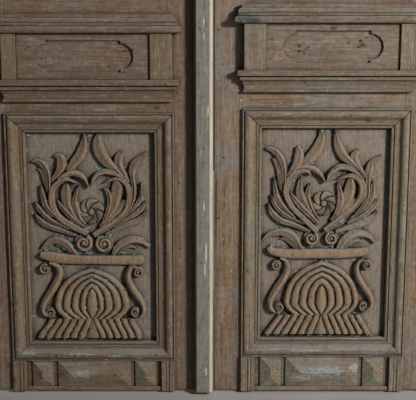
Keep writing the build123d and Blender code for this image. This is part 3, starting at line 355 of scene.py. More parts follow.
right_leaves = [
    ((-60, 178, -48, 190, -35, 203, -24, 218, -15, 237, -12, 256, -16, 275), (12, 24, 27, 19, 2)),
    ((100, 148, 90, 161, 77, 176, 61, 190, 46, 203, 36, 220, 27, 243, 22, 275), (6, 10, 19, 22, 2)),
    ((-105, 135, -105, 156, -107, 177, -113, 195, -123, 210, -138, 221, -155, 225), (10, 13, 16, 14, 5)),
    ((-96, 152, -82, 170, -72, 184, -68, 199, -68, 214, -74, 228), (8, 18, 23, 21, 9)),
    ((104, 146, 96, 160, 85, 173, 76, 186, 72, 200, 76, 212, 86, 219), (6, 12, 20, 18, 5)),
    ((80, 55, 95, 72, 106, 92, 110, 114, 109, 135, 110, 154, 113, 173, 120, 190, 144, 206), (5, 10, 11, 19, 2)),
    ((-74, 42, -91, 57, -105, 71, -117, 87, -125, 106, -131, 150), (5, 10, 14, 16, 4)),
    ((-52, 28, -89, 45, -107, 55, -122, 70, -132, 87, -138, 104), (5, 10, 11, 10, 2)),
    ((-36, 8, -80, 27, -104, 34, -125, 47, -138, 64, -145, 82), (7, 13, 15, 13, 2)),
    ((68, 43, 98, 65, 110, 78, 118, 93, 122, 112, 122, 138), (5, 9, 12, 16, 7)),
    ((60, 30, 93, 47, 109, 58, 121, 69, 130, 81, 133, 94), (6, 11, 13, 14, 6)),
    ((30, 8, 77, 23, 98, 31, 116, 40, 129, 50, 135, 62), (9, 17, 18, 14, 5)),
    ((-28, 44, -41, 65, -51, 80, -60, 97, -65, 115, -62, 150), (6, 12, 19, 20, 8)),
    ((-16, 40, -31, 63, -38, 77, -44, 94, -44, 113, -38, 134), (7, 11, 14, 13, 6)),
    ((-16, 30, -34, 48, -50, 63, -65, 78, -78, 94, -90, 110), (7, 14, 15, 13, 4)),
    ((18, 38, 27, 51, 35, 65, 40, 82, 41, 100, 32, 137), (6, 10, 16, 18, 5)),
    ((26, 40, 38, 57, 49, 74, 58, 91, 65, 128, 63, 150), (6, 14, 22, 26, 8)),
    ((20, 34, 36, 48, 51, 61, 66, 75, 79, 88, 92, 99), (8, 18, 19, 15, 5)),
    ((-56, -42, -67, -24, -77, -9, -90, 2, -108, 7, -127, 5, -146, -2, -161, -14), (9, 19, 21, 15, 2)),
    ((35, -42, 43, -29, 53, -14, 67, -3, 85, 3, 104, 1, 120, -8, 133, -23), (10, 19, 21, 15, 3)),
]
# Slight cuts beside the leaves, lower than the rest
left_small_leaves = [
    ((-112, 118, -116, 144, -119, 160, -126, 175, -137, 183), (4, 9, 12, 9, 3)),
    ((-48, -42, -64, -31, -78, -22, -95, -18), (6, 9, 8, 3)),
    ((64, -42, 72, -32, 86, -23, 102, -21, 116, -28), (6, 9, 10, 3)),
]
right_small_leaves = [
    ((-110, 108, -114, 130, -116, 150, -118, 170, -124, 186, -135, 199), (4, 9, 13, 14, 5)),
    ((-66, -42, -77, -31, -86, -19, -98, -11, -113, -12), (6, 10, 12, 4)),
    ((48, -40, 60, -27, 80, -17, 99, -19), (8, 12, 11, 4)),
]
stems = {"left": left_stems, "right": right_stems}
leaves = {"left": left_leaves, "right": right_leaves}
small_leaves = {"left": left_small_leaves, "right": right_small_leaves}
volutes = {
    # Middle, radius, angle where the strand comes in, and which way it turns
    "left": [(-22, -12, 26, 62, -1), (31, -14, 25, 130, 1), (-124, -80, 16, 54, 1), (117, -89, 16, 120, -1),
             (-114, -197, 15, -100, 1), (109, -196, 14, -60, -1)],
    "right": [(-33, -10, 21, 62, -1), (19, -10, 19, 125, 1), (-122, -81, 15, 54, 1), (112, -81, 15, 125, -1),
              (-114, -194, 14, -110, 1), (107, -191, 14, -65, -1)],
}
rosettes = {"left": (-1, 71, 32), "right": (-3, 81, 31)}
beams = {
    "left": ((-134, -42, -120, -45, -84, -52, -36, -55, 2, -56, 59, -56, 106, -57, 135, -55),
             (16, 28, 24, 26, 27)),
    "right": ((-143, -32, -133, -44, -100, -50, -65, -51, -20, -50, 30, -50, 66, -49, 94, -47, 116, -40),
              (14, 25, 27, 26, 22)),
}
arches = {
    # Half width at the foot, half width at the belly, and height, from the outside in
    "left": [(76, 98, 138), (48, 77, 124), (27, 54, 112), (12, 32, 99), (1, 15, 82)],
    "right": [(76, 98, 146), (52, 80, 131), (32, 58, 117), (14, 36, 102), (1, 15, 81)],
}
slat_ends = {"left": ((-117, -151), (106, 127)), "right": ((-117, -154), (99, 129))}
slat_bow = {"left": 1.7, "right": 0.4}
bud_axis = -4
bud_foot = -214
bud_belly = 46
slat_foot = -266
slat_count = 6
triangle_half = 18


def smooth_line(points, count):
    """Points along a smooth line through the given points."""
    given = [Vector(p) for p in points]
    given = [2 * given[0] - given[1], *given, 2 * given[-1] - given[-2]]
    runs = len(given) - 3
    line = []
    for i in range(count + 1):
        place = min(i / count * runs, runs - 1e-6)
        n = int(place)
        t = place - n
        a, b, c, d = given[n : n + 4]
        bend, twist = 2 * a - 5 * b + 4 * c - d, 3 * b - a - 3 * c + d
        line.append(0.5 * (2 * b + (c - a) * t + bend * t**2 + twist * t**3))
    return line


def stroke(points, widths, steps):
    """Both edges of a stroke with its points up the middle. Its tip is rounded off."""
    line = smooth_line(list(zip(points[::2], points[1::2])), steps)
    return edges_of(line, widths)


def edges_of(line, widths):
    """Both edges of a stroke that follows a line. Its tip is rounded off."""
    last = len(line) - 1
    spread = smooth_line([(width, 0) for width in widths], last)
    left, right = [], []
    for i, at in enumerate(line):
        tip = math.sqrt(min(1, (last - i) / last / 0.05 + 0.04))
        run = (line[min(i + 1, last)] - line[max(i - 1, 0)]).normalized()
        side = Vector((-run.y, run.x)) * max(spread[i].x * tip, 0.8) / 2
        left.append(at + side)
        right.append(at - side)
    return left, right


def skin(shape, rows, closed=True):
    """Makes the faces between rows of corners. Corners that fall together count once."""
    faces = []
    for first, second in zip(rows, rows[1:]):
        for i in range(len(first) - (not closed)):
            j = (i + 1) % len(first)
            faces.append(shape.faces.new(dict.fromkeys((first[i], first[j], second[j], second[i]))))
    return faces


def rib(shape, left, right, section, heights):
    """One cut form between two edges. The section gives shares across and shares of the height."""
    columns = [(0, -0.1)] + list(section) + [(1, -0.1)]
    rows = []
    for i in range(len(left)):
        spot = [left[i].lerp(right[i], share) for share, _ in columns]
        rows.append([(p.x, p.y, heights[i] * part) for p, (_, part) in zip(spot, columns)])
    rows.insert(0, [(x, y, -1) for x, y, _ in rows[0]])
    rows.append([(x, y, -1) for x, y, _ in rows[-1]])
    skin(shape, [[shape.verts.new(p) for p in row] for row in rows], False)


def spoke(angle):
    """The way that an angle points."""
    return Vector((math.cos(angle), math.sin(angle)))


def turned(shape, centre, profile, radius, height, count):
    """A round form about a centre. The profile gives shares of the radius and of the height."""
    rings = []
    for share, part in profile:
        ring = [centre + spoke(2 * math.pi * i / count) * radius * share for i in range(count if share else 1)]
        ring = [shape.verts.new((at.x, at.y, height * part)) for at in ring]
        rings.append(ring if share else ring * count)
    skin(shape, rings)


stem_section = [(0, 0.55), (0.05, 0.76), (0.14, 0.92), (0.3, 1), (0.5, 1), (0.6, 0.98), (0.65, 0.84), (0.7, 0.96),
                (0.84, 0.88), (0.95, 0.72), (1, 0.55)]
leaf_section = [(0, 0.5), (0.03, 0.68), (0.1, 0.75), (0.3, 0.76), (0.48, 0.84), (0.62, 1), (0.76, 0.99), (0.9, 0.88),
                (0.97, 0.72), (1, 0.5)]
leaf_turned = [(1 - share, part) for share, part in reversed(leaf_section)]
domed = [(0, 0.5), (0.03, 0.72), (0.1, 0.88), (0.25, 0.97), (0.5, 1), (0.75, 0.97), (0.9, 0.88), (0.97, 0.72),
         (1, 0.5)]
ridged = [(0, 0.4), (0.03, 0.58), (0.1, 0.76), (0.24, 0.92), (0.42, 1), (0.58, 1), (0.74, 0.94), (0.88, 0.8),
          (0.96, 0.62), (1, 0.4)]


def foliage(shape, side):
    """The stems, the leaves and the small cuts beside them."""
    steps = 44
    for i, (points, widths) in enumerate(stems[side]):
        rib(shape, *stroke(points, widths, steps), stem_section, [relief * (0.94 + 0.01 * i)] * (steps + 1))
    steps = 28
    for cut in leaves[side] + small_leaves[side]:
        points, widths = cut
        height = relief * (0.6 if cut in small_leaves[side] else 0.92)
        heights = [height * (0.8 + 0.2 * math.sin(math.pi * min(1, 0.2 + i / steps))) for i in range(steps + 1)]
        left, right = stroke(points, [1.12 * width for width in widths], steps)
        rises_right = (right[steps // 2] - left[steps // 2]).x > 0
        rib(shape, left, right, leaf_section if rises_right else leaf_turned, heights)


def scrolls(shape, side):
    """The rolled ends of the strands, each with a winding cut that closes on an eye."""
    steps = 52
    winding = 480
    for x, y, radius, start, way in volutes[side]:
        centre = Vector((x, y))
        shares = [i / steps for i in range(steps + 1)]
        line = [centre + spoke(math.radians(start + way * winding * t)) * radius * (0.8 - 0.5 * t) for t in shares]
        widths = (radius * 0.4, radius * 0.35, radius * 0.26)
        rib(shape, *edges_of(line, widths), domed, [relief * (0.97 - 0.06 * t) for t in shares])
        turned(shape, centre, [(0, 0.96), (0.14, 0.92), (0.22, 0.8), (0.26, 0.5), (0.92, 0.42), (0.98, 0.25),
                               (1, -0.1)], radius, relief, 32)


def rosette(shape, side):
    """The flower: seven petals swirling round a button, with deep cuts between them."""
    x, y, radius = rosettes[side]
    centre = Vector((x, y))
    petals = 7
    count = 16 * petals
    rings = []
    for share, crown in ((0.2, 0.42), (0.26, 0.62), (0.4, 0.78), (0.6, 0.86), (0.8, 0.8), (0.93, 0.66), (0.99, 0.5),
                         (1, 0.3), (1, -0.1)):
        ring = []
        for i in range(count):
            turn = i / count
            petal = petals * turn % 1
            height = crown * (0.6 + 0.4 * petal**0.8)
            if petal > 0.85 and 0.2 < share < 0.97:
                height = 0.1
            reach = radius * share * (1 + 0.03 * math.sin(math.pi * petal))
            # The cuts bend round, and no two petals are of one width.
            angle = 2 * math.pi * turn - 0.95 * share**1.3 + 0.16 * math.sin(2 * math.pi * turn + x)
            at = centre + spoke(angle) * reach
            ring.append(shape.verts.new((at.x, at.y, relief * height)))
        rings.append(ring)
    skin(shape, rings)
    turned(shape, centre, [(0, 0.92), (0.4, 0.9), (0.75, 0.8), (1, 0.55), (1.04, 0.1)], radius * 0.27, relief, 24)


def bud(shape, side):
    """The closed bud: pointed ribs inside each other round an almond."""
    steps = 32
    outlines = []
    for foot, half, top in arches[side]:
        rise = top - bud_belly
        right = [(foot, 0), (half * 0.97, bud_belly / 2), (half, bud_belly), (half * 0.86, bud_belly + rise * 0.42),
                 (half * 0.5, bud_belly + rise * 0.78), (0, top)]
        right = smooth_line(right, steps)
        whole = right + [Vector((-p.x, p.y)) for p in reversed(right[:-1])]
        outlines.append([Vector((bud_axis + p.x, bud_foot + p.y)) for p in whole])
    for i, (outer, inner) in enumerate(zip(outlines, outlines[1:])):
        rib(shape, outer, inner, ridged, [relief * (0.9 + 0.02 * i)] * len(outer))
    almond = outlines[-1]
    rib(shape, almond[:steps + 1], list(reversed(almond[steps:])), ridged, [relief] * (steps + 1))


def slats(shape, side):
    """The splayed foot: slats slanting out from a small triangle."""
    for way, (head_end, foot_end) in zip((-1, 1), slat_ends[side]):
        triangle_end = bud_axis + way * triangle_half
        edges = []
        for step in range(slat_count + 1):
            share = step / slat_count
            head = Vector((bud_axis + share * (head_end - bud_axis), bud_foot))
            foot = Vector((triangle_end + share * (foot_end - triangle_end), slat_foot))
            bow = Vector((way * slat_bow[side], 0))
            edges.append(smooth_line([head, head.lerp(foot, 0.25) - bow, head.lerp(foot, 0.5),
                                      head.lerp(foot, 0.75) + bow, foot], 12))
        for inner, outer in zip(edges, edges[1:]):
            rib(shape, inner, outer, ridged, [relief * 0.9] * len(inner))
    head = Vector((bud_axis, bud_foot))
    left, right = [[head.lerp(Vector((bud_axis + x, slat_foot)), i / 6) for i in range(7)]
                   for x in (-triangle_half, triangle_half)]
    rib(shape, left, right, [(0, 0.6), (0.12, 0.8), (0.5, 0.86), (0.88, 0.8), (1, 0.6)], [relief * 0.9] * len(left))


def board(shape, seed):
    """The board itself, its ground left a little uneven by the gouge."""
    hand = random.Random(seed)
    waves = [(hand.uniform(0.02, 0.12), hand.uniform(0.01, 0.05), hand.uniform(0, 6)) for _ in range(7)]
    across, up = 102, 158
    grid = []
    for j in range(up + 1):
        row = []
        for i in range(across + 1):
            x = -board_half_width + 2 * board_half_width * i / across
            y = -board_half_height + 2 * board_half_height * j / up
            height = sum(math.sin(a * x + c + 2 * math.sin(b * y)) for a, b, c in waves) * 0.09
            inside = abs(x) < ground_half_width and abs(y) < ground_half_height
            row.append(shape.verts.new((x, y, height if inside else 0)))
        grid.append(row)
    skin(shape, grid, False)
    rim = grid[0] + [row[-1] for row in grid[1:]] + grid[-1][-2::-1] + [row[0] for row in grid[-2:0:-1]]
    back = [shape.verts.new((v.co.x, v.co.y, -board_thickness)) for v in rim]
    skin(shape, (rim, back))
    shape.faces.new(reversed(back))


def carving_coat(tree, place, wood, *grain):
    """The ground was never planed again after the gouge and is greyer than the raised carving. The raised tops are
    paler, partly from wear and partly as a painted highlight.
    """
    split = add(tree, "SeparateXYZ", None, [(0, place, "Object")])
    calm = add(tree, "Mix", {0: 0.35, 7: "#75675a"}, [(6, wood, 2)])
    return tinted(tree, calm, ("#977f64", split, "Y", -0.015, -0.021, 0.55),
                  ("#7f7870", split, "Y", -0.01, -0.006, 0.75))


# The carving's hollows take the strongest dirt and painted shade.
carved_wood = pine("stripped_pine_carved", "z", "#86776a", "#58493b", "#7a7068", 0.74, 1.0, False, carving_coat, 0.1,
                   bite=0.002)
for number, side in enumerate(("left", "right")):
    shape = bmesh.new()
    board(shape, number + 3)
    for cut in (foliage, scrolls, rosette, bud, slats):
        cut(shape, side)
    left, right = stroke(*beams[side], 44)
    rib(shape, left, right, domed, [relief * 0.96] * len(left))
    centre, middle = panel_middle[side]
    for vertex in shape.verts:
        x, y, height = vertex.co
        if height > 1:
            # No edge was cut quite true.
            x += wander * noise.noise(Vector((x / 11, y / 11, 5 + number)))
            y += wander * noise.noise(Vector((x / 11, y / 11, 9 + number)))
            height = min(relief, height + unevenness * noise.noise(Vector((x / 8, y / 8, number))))
        vertex.co = ((centre + x) / 1000, (board_face - height) / 1000, (middle + y) / 1000)
    carving = ready(side + "_carving", shape, [carved_wood], side + "_leaf", angle=42)
    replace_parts(carving, side + "_carved_panel")

# Mouldings round the carved panels
# Four mitred lengths of pine bolection moulding, nailed round each panel. Their grain runs along
# them, the mitres have opened a little, and paint is left at their lower edges.
moulding_paint = marks([(145, 744, 20, 2), (200, 738, 9, 2), (260, 119, 50, 3), (370, 122, 40, 2), (170, 122, 24, 3),
                        (-330, 108, 40, 3), (-240, 104, 30, 2), (-470, 112, 20, 4), (512, 560, 2, 26),
                        (-101, 183, 2, 4), (440, 108, 24, 3), (-130, 733, 24, 2), (-180, 98, 12, 3)],
                       "#9aa8a8", 1.5, 0.7)
moulding_green = marks([(104, 610, 5, 110), (101, 330, 4, 80), (497, 560, 5, 90), (500, 380, 4, 70)],
                       "#5f6b55", 1.8, 0.55)
moulding_knots = marks([(-397, 105, 6, 6), (255, 737, 3, 2)], "#33271d")
moulding_coat = layers(moulding_green, moulding_paint, moulding_knots)
front_face = -22.5


def arc(start, end, bulge, count):
    """Points of a shallow arc after its start, which stands off its chord by the bulge."""
    (x, y), (wide, tall) = start, (end[0] - start[0], end[1] - start[1])
    return [(x + wide * t, y + tall * t + 4 * bulge * t * (1 - t)) for t in [i / count for i in range(1, count + 1)]]


# The section, inwards from the outer edge and forwards from the stile: a bead, a quirk, a thumb
# that falls steeply into a hollow, a flat fillet and a fine bead against the panel.
moulding_section = [
    (0, -1), (0, 7.6), (0.4, 8.7), (1.3, 9.2), (2.6, 9.2), (3.6, 8.7), (4.1, 7.6), (4.3, 6),
    (5.4, 5.8), (5.9, 7.6), (7.4, 9.5), *arc((7.4, 9.5), (20, 10.2), 1.9, 8), (21.8, 9), (23.5, 7.1), (25, 4.9),
    (26.6, 2.8), (28.6, 1.2), (31.2, 0.3), (34, 0), (36.6, 0.3), (36.9, 1.5), (37.3, 1.8), (41, 1.8), (41.4, 1.4),
    (41.6, -1.8), (43.2, -1.9), (43.5, -0.7), (44.2, -0.1), (46.8, -0.3), (48.8, -1.4), (50, -4), (50, -18),
    (18, -18), (18, -1)]
trim_upright = pine("pine_moulding_upright", "z", "#857863", "#56493a", "#76736c", 0.35, 0.85, True, moulding_coat)
trim_level = pine("pine_moulding_level", "x", "#7c6f5b", "#4f4335", "#716e68", 0.35, 0.85, True, moulding_coat)
mitre_gaps = (0.0004, 0.0011)
for side in ("left", "right"):
    low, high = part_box(f"{side}_panel_moulding")
    corners = [Vector(p) for p in ((low[0], low[2]), (high[0], low[2]), (high[0], high[2]), (low[0], high[2]))]
    shape = bmesh.new()
    for i, (here, there) in enumerate(zip(corners, corners[1:] + corners[:1])):
        along = (there - here).normalized()
        inwards = Vector((-along.y, along.x))
        rows = []
        for start, way in ((here, 1), (there, -1)):
            # The mitres have opened, those at the top the most.
            opened = mitre_gaps[start.y > 0.5]
            row = [(start + inwards * u / 1000 + along * way * (u / 1000 + opened), v) for u, v in moulding_section]
            rows.append([shape.verts.new((at.x, (front_face - v) / 1000, at.y)) for at, v in row])
        for face in skin(shape, rows) + [shape.faces.new(row) for row in rows]:
            face.material_index = i % 2 ^ 1
    moulding = ready(f"{side}_moulding_run", shape, [trim_upright, trim_level], f"{side}_leaf", angle=30)
    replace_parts(moulding, f"{side}_panel_moulding")

# Plinth
# A thin board, two reeded posts, two pointed blocks and a long hipped block, glued and nailed to the
# bottom rail. Worn by feet and mops, with blue-green paint in their grain.
plinth_paint = marks([(198, 60, 16, 30), (150, 45, 14, 40), (300, 70, 60, 12), (430, 40, 30, 20), (480, 60, 14, 30),
                      (-180, 60, 20, 20)], "#6d7c72", 1.6, 0.6)
worn_white = marks([(300, 62, 60, 14), (250, 45, 30, 8), (385, 70, 22, 14), (-330, 55, 30, 10)],
                   "#98a3aa", 2.4, 0.72)
plinth_finish = ("#827765", "#574b3c", "#7a746a", 0.5, 0.9, True, layers(plinth_paint, worn_white))
plinth_wood = pine("pine_plinth", "x", *plinth_finish)
plinth_post_wood = pine("pine_plinth_post", "z", *plinth_finish)
for side in ("left", "right"):
    eased(f"{side}_plinth_posts", 0.0008, [plinth_post_wood])
    eased(f"{side}_plinth_blocks", 0.0014, [plinth_wood])
    eased(f"{side}_plinth_strip", 0.0008, [plinth_wood])

# Cornices and frieze
# A moulded shelf and a moulded hood, planted on the lock rail with a board and two upright blocks
# between them. The board has a sunk tablet, and the right hood keeps some old green paint.


def returned(side, name, node, section):
    """A moulded length that turns back round both its ends. The section gives heights and reaches."""
    low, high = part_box(f"{side}_{node}")
    farthest = front_face - low[1] * 1000
    shape = bmesh.new()
    rows = []
    for height, reach in section:
        left, right = low[0] * 1000 + farthest - reach, high[0] * 1000 - farthest + reach
        front = front_face - reach
        round_it = ((left, front_face), (left, front), (right, front), (right, front_face))
        rows.append([shape.verts.new((x / 1000, y / 1000, low[2] + height / 1000)) for x, y in round_it])
    skin(shape, rows)
    shape.faces.new(rows[0])
    shape.faces.new(rows[-1])
    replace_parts(ready(f"{side}_{name}", shape, [cornice_wood], f"{side}_leaf", angle=32), f"{side}_{node}")


# Each from its foot up: a bead, a hollow, a bead and a deep quirk under the square top; and a round
# nose with two bands stepping back to the rail.
shelf_section = [
    (0, 13), (0.3, 14.2), (1.4, 15.1), (3.2, 15.5), (5.4, 15.2), (7, 14.2), (7.6, 12.6), (8.4, 12.2), (9, 13),
    *arc((9, 13), (27.6, 19.4), -1.7, 8), (28, 17.6), (29, 17.4), (29.4, 20.8), (30.4, 22.8), (32.4, 24.2),
    (35.2, 24.4), (37.4, 23.6), (38.6, 22), (38.8, 19.4), (40.6, 19.2), (41, 28.4), (41.6, 29.5), (42.8, 30),
    (53.4, 30), (54.5, 29.5), (55, 28.4)]
hood_section = [
    (0, 29.6), (0.2, 31.6), (1.2, 33.9), (3, 35.7), (5.6, 36.9), (8.6, 37.3), (11.8, 36.9), (14.4, 35.7),
    (16.2, 33.8), (16.8, 31.6), (17, 29.4), (17.8, 29.4), (18.4, 30.4), (20, 30.2), (24, 28.8), (24.5, 27.4),
    (25.2, 27.4), (25.7, 29), (27, 29), (31, 27.8), (34, 26.2), (35.6, 24.8), (36, 21.8), (37.2, 21.6),
    (38.4, 21.2), (41, 20.8), (44.2, 20), (45, 19)]
cornice_paint = marks([(84, 975, 26, 12), (108, 966, 22, 10), (76, 964, 12, 12), (120, 978, 20, 4)],
                      "#30453b", 0.9, 0.95)
cornice_wood = pine("pine_cornice", "x", "#7a6d5c", "#4c4034", "#6f6a63", 0.25, 0.85, True, cornice_paint)
worm_holes = [(x, z, 3.2, 3.2) for x, z in (
    (236, 915), (248, 901), (237, 886), (279, 951), (346, 912), (391, 924), (-186, 895), (-191, 885), (-367, 875),
    (-207, 841), (-396, 919), (-244, 855))]
worm_holes += [(225, 905, 4.8, 4.8), (224, 892, 5.1, 4.8), (376, 917, 4.8, 4.8), (381, 907, 6.4, 4.8),
               (372, 902, 4.8, 3.2)]
worm_eaten = marks(worm_holes, "#17100b", 0.4, 0.95)
frieze_stain = marks([(378, 908, 16, 12), (230, 900, 22, 16), (-200, 890, 20, 14)], "#4a372a", 1.6, 0.5)
frieze_coat = layers(frieze_stain, worm_eaten)
frieze_wood = pine("pine_frieze", "x", "#7c6f62", "#4f443a", "#716e6a", coat=frieze_coat, rings=0.1)
for side in ("left", "right"):
    returned(side, "shelf", "lower_cornice", shelf_section)
    returned(side, "hood", "upper_cornice", hood_section)
    eased(f"{side}_frieze_board", 0.001, [frieze_wood])
    eased(f"{side}_frieze_blocks", 0.001, [trim_upright])

# Cover strip
# A pine strip nailed to the left leaf over the meeting edges, bevelled on one side and beaded on
# the other. It keeps most of its grey-green paint, with white and pale blue drips over it.


def strip_coat(tree, place, wood, streaked, blotch):
    """Grey-green paint worn through along the grain, paler on the bead."""
    split = add(tree, "SeparateXYZ", None, [(0, place, "Object")])
    thin = add(tree, "Math MULTIPLY_ADD", {1: 0.8}, [(0, streaked), (2, blotch, "Fac")])
    kept = add(tree, "MapRange", {"From Min": 1.55, "From Max": 1.2, "To Max": 0.85}, [("Value", thin)])
    bead = add(tree, "MapRange", {"From Min": 0.0035, "From Max": 0.0050}, [("Value", split, "X")])
    tint = add(tree, "Mix", {6: "#777a76", 7: "#c8c6b8"}, [(0, bead)])
    painted = add(tree, "Mix", None, [(0, kept), (6, wood, 2), (7, tint, 2)])
    drips = marks([(-10, 964, 2, 14), (-10, 929, 1.5, 10), (0, 747, 2, 14), (-10, 507, 2, 14), (-5, 387, 3, 34),
                   (-8, 341, 2.5, 22), (-5, 69, 3, 14), (-18, 644, 1.5, 3), (-8, 1180, 2, 18), (-2, 1420, 2, 24),
                   (-12, 1730, 2, 20), (-6, 2060, 2, 16)], "#b3c1cb", 0.9, 0.9)
    return drips(tree, place, painted, streaked, blotch)


strip_wood = pine("painted_pine_strip", "z", "#837a68", "#5f5443", "#7d7769", 0.3, 0.6, True, strip_coat)
eased("cover_strip", 0.001, [strip_wood])

# Glazed light
# Two rebated cross bars with three panes of old drawn glass, held from the room side by bevelled
# pine beads. The glass is slightly wavy, as it was drawn by hand.
bead_width = 0.0101
for side in ("left", "right"):
    eased(f"{side}_glazing_bars", 0.001, [level])
    low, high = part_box(f"{side}_glazing_beads")
    # Upright beads lie at both sides, and level ones between them at heights that tell them apart.
    eased(f"{side}_glazing_beads", 0.0006, [trim_upright, trim_level], length_of=lambda place: (
        1 + 2 * round(place.z * 20) if low[0] + bead_width < place.x < high[0] - bead_width else 2 * (place.x > 0)))
glass, tree = blank("old_drawn_glass")
place = add(tree, "TexCoord")
wave = add(tree, "TexNoise", {"Scale": 9, "Detail": 2}, [("Vector", place, "Object")])
ripple = add(tree, "Bump", {"Strength": 0.12, "Distance": 0.004}, [("Height", wave, "Fac")])
dust = add(tree, "TexNoise", {"Scale": 40, "Detail": 6, "Roughness": 0.7}, [("Vector", place, "Object")])
film = add(tree, "MapRange", {"From Min": 0.4, "From Max": 0.75, "To Min": 0.03, "To Max": 0.16},
           [("Value", dust, "Fac")])
pane = add(tree, "BsdfPrincipled", {"Base Color": "#e4ece6", "IOR": 1.5, "Transmission Weight": 1},
           [("Roughness", film), ("Normal", ripple)])
add(tree, "OutputMaterial", None, [(0, pane)])
for side in ("left", "right"):
    materials = frame["nodes"][side + "_glass"].data.materials
    materials.clear()
    materials.append(glass)

# Hinges
# Three forged lift-off hinges a leaf. The lower half of each is let into the jamb and carries the
# pin, and the upper half, let into the leaf, drops over it. Iron with a dark skin, rusted in places.


def iron(name, skin="#3b3632", rust="#6a4a33", bright=0.35):
    """Wrought iron: a dull dark skin from the forge, with matt brown rust where it has worn through."""
    material, tree = blank(name)
    place = add(tree, "TexCoord")
    bloom = add(tree, "TexNoise", {"Scale": 55, "Detail": 7, "Roughness": 0.68}, [("Vector", place, "Object")])
    hammered = add(tree, "TexVoronoi", {"Scale": 130, "feature": "SMOOTH_F1"}, [("Vector", place, "Object")])
    eaten = add(tree, "MapRange", {"From Min": 0.5, "From Max": 0.66}, [("Value", bloom, "Fac")])
    colour = add(tree, "Mix", {6: skin, 7: rust}, [(0, eaten)])
    sheen = add(tree, "MapRange", {"To Min": 0.85, "To Max": 0.15}, [("Value", eaten)])
    matt = add(tree, "MapRange", {"To Min": bright, "To Max": 0.85}, [("Value", eaten)])
    dents = add(tree, "Math MULTIPLY_ADD", {1: 0.5}, [(0, bloom, "Fac"), (2, hammered, "Distance")])
    bump = add(tree, "Bump", {"Strength": 0.35, "Distance": 0.0005}, [("Height", dents)])
    shader = add(tree, "BsdfPrincipled", None,
                 [("Base Color", colour, 2), ("Metallic", sheen), ("Roughness", matt), ("Normal", bump)])
    add(tree, "OutputMaterial", None, [(0, shader)])
    return material


def lathe(shape, foot, axis, profile, count=28):
    """A round form along an axis, from a profile of distances along it and radii, in mm."""
    axis = Vector(axis).normalized()
    across = axis.orthogonal().normalized()
    other = axis.cross(across)
    rings = []
    for along, radius in profile:
        middle = Vector(foot) + axis * along
        ways = [spoke(2 * math.pi * i / count) * radius for i in range(count)]
        rings.append([shape.verts.new((middle + across * way.x + other * way.y) / 1000) for way in ways])
    skin(shape, rings)
    shape.faces.new(reversed(rings[0]))
    shape.faces.new(rings[-1])


def slab(shape, low, high, edge=0.4):
    """A squared plate between two corners in mm, its edges slightly rounded."""
    corners = [shape.verts.new(Vector(p) / 1000) for p in product(*zip(low, high))]
    sides = [shape.faces.new([corners[i] for i in side]) for side in (
        (0, 1, 3, 2), (4, 6, 7, 5), (0, 4, 5, 1), (2, 3, 7, 6), (0, 2, 6, 4), (1, 5, 7, 3))]
    lines = list({line for face in sides for line in face.edges})
    bmesh.ops.bevel(shape, geom=lines, offset=edge / 1000, segments=2, affect="EDGES", profile=0.5)


forged_iron = iron("forged_iron")
rusty_iron = iron("rusty_nails", "#2e2621", "#4b3526", 0.6)


def heads(name, body, spots, radius=3, rise=1, metal=forged_iron):
    """Small domed heads of screws or nails. A spot is a place and the way it faces, in mm."""
    shape = bmesh.new()
    profile = [(-0.4, radius), (rise * 0.45, radius * 0.94), (rise * 0.85, radius * 0.6), (rise, radius * 0.2)]
    for place, facing in spots:
        lathe(shape, place, facing, profile, 12)
    ready(name, shape, [metal], body, 40)


hinge_heights = (250, 1200, 2150)
hinge_half_height = 55
hinge_screws = (-38, 0, 38)
leaf_edge = 602
jamb_edge = 605
hinge_axis = (603.5, 30)
knuckle = 7
plate_back = 22.5
plate_reach = 30
plate_thickness = 2.5
for side, sign in (("left", -1), ("right", 1)):
    for name, body, inner in (("hinge_sockets", side + "_leaf", leaf_edge - plate_thickness),
                              ("hinge_pintles", "frame", jamb_edge)):
        upper = name == "hinge_sockets"
        outer = inner + plate_thickness
        x0, x1 = sorted((sign * inner, sign * outer))
        shape = bmesh.new()
        screws = []
        for height in hinge_heights:
            foot, top = height - hinge_half_height, height + hinge_half_height
            slab(shape, (x0, plate_back - plate_reach, foot), (x1, plate_back, top))
            low, high = (height + 0.2, top) if upper else (foot, height)
            slab(shape, (x0, plate_back - 1, low), (x1, hinge_axis[1] - 5, high))
            length = high - low
            rounded = [(0, knuckle - 1.2), (0.5, knuckle - 0.3), (1.4, knuckle), (length - 1.4, knuckle),
                       (length - 0.5, knuckle - 0.3), (length, knuckle - 1.2)]
            lathe(shape, (sign * hinge_axis[0], hinge_axis[1], low), (0, 0, 1), rounded)
            if not upper:
                lathe(shape, (sign * hinge_axis[0], hinge_axis[1], height - 1), (0, 0, 1),
                      [(0, 4), (34, 4), (36, 3.3), (37, 2)], 20)
            face, facing = (outer, sign) if upper else (inner, -sign)
            for step in hinge_screws:
                screws.append(((sign * face, plate_back - plate_reach / 2 - 5, height + step), (facing, 0, 0)))
        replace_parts(ready(f"{side}_{name}_forged", shape, [forged_iron], body, 40), f"{side}_{name}")
        heads(f"{side}_{name}_screws", body, screws, 3.2, 0.25)

# Long bolt of the right leaf
# A cast case with a gear inside, screwed to the meeting stile. A square spindle turns the gear from
# either lever, and two square rods run from the case through forged staples to the head and foot.
for node, edge in (("bolt_case", 0.0015), ("upper_rod", 0.0008), ("lower_rod", 0.0008), ("rod_guides", 0.001),
                   ("spindle", 0.0003), ("front_plate", 0.0008), ("head_keepers", 0.001)):
    eased(node, edge, [forged_iron])
for node in ("front_lever", "back_lever"):
    eased(node, 0.0022, [forged_iron], angle=50)
lever_x, lever_height = 60, 1150
back_face = 22.5
case_front = back_face + 24
guide_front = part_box("rod_guides")[1][1] * 1000
guide_heights = (43, 576, 1777, 2349)
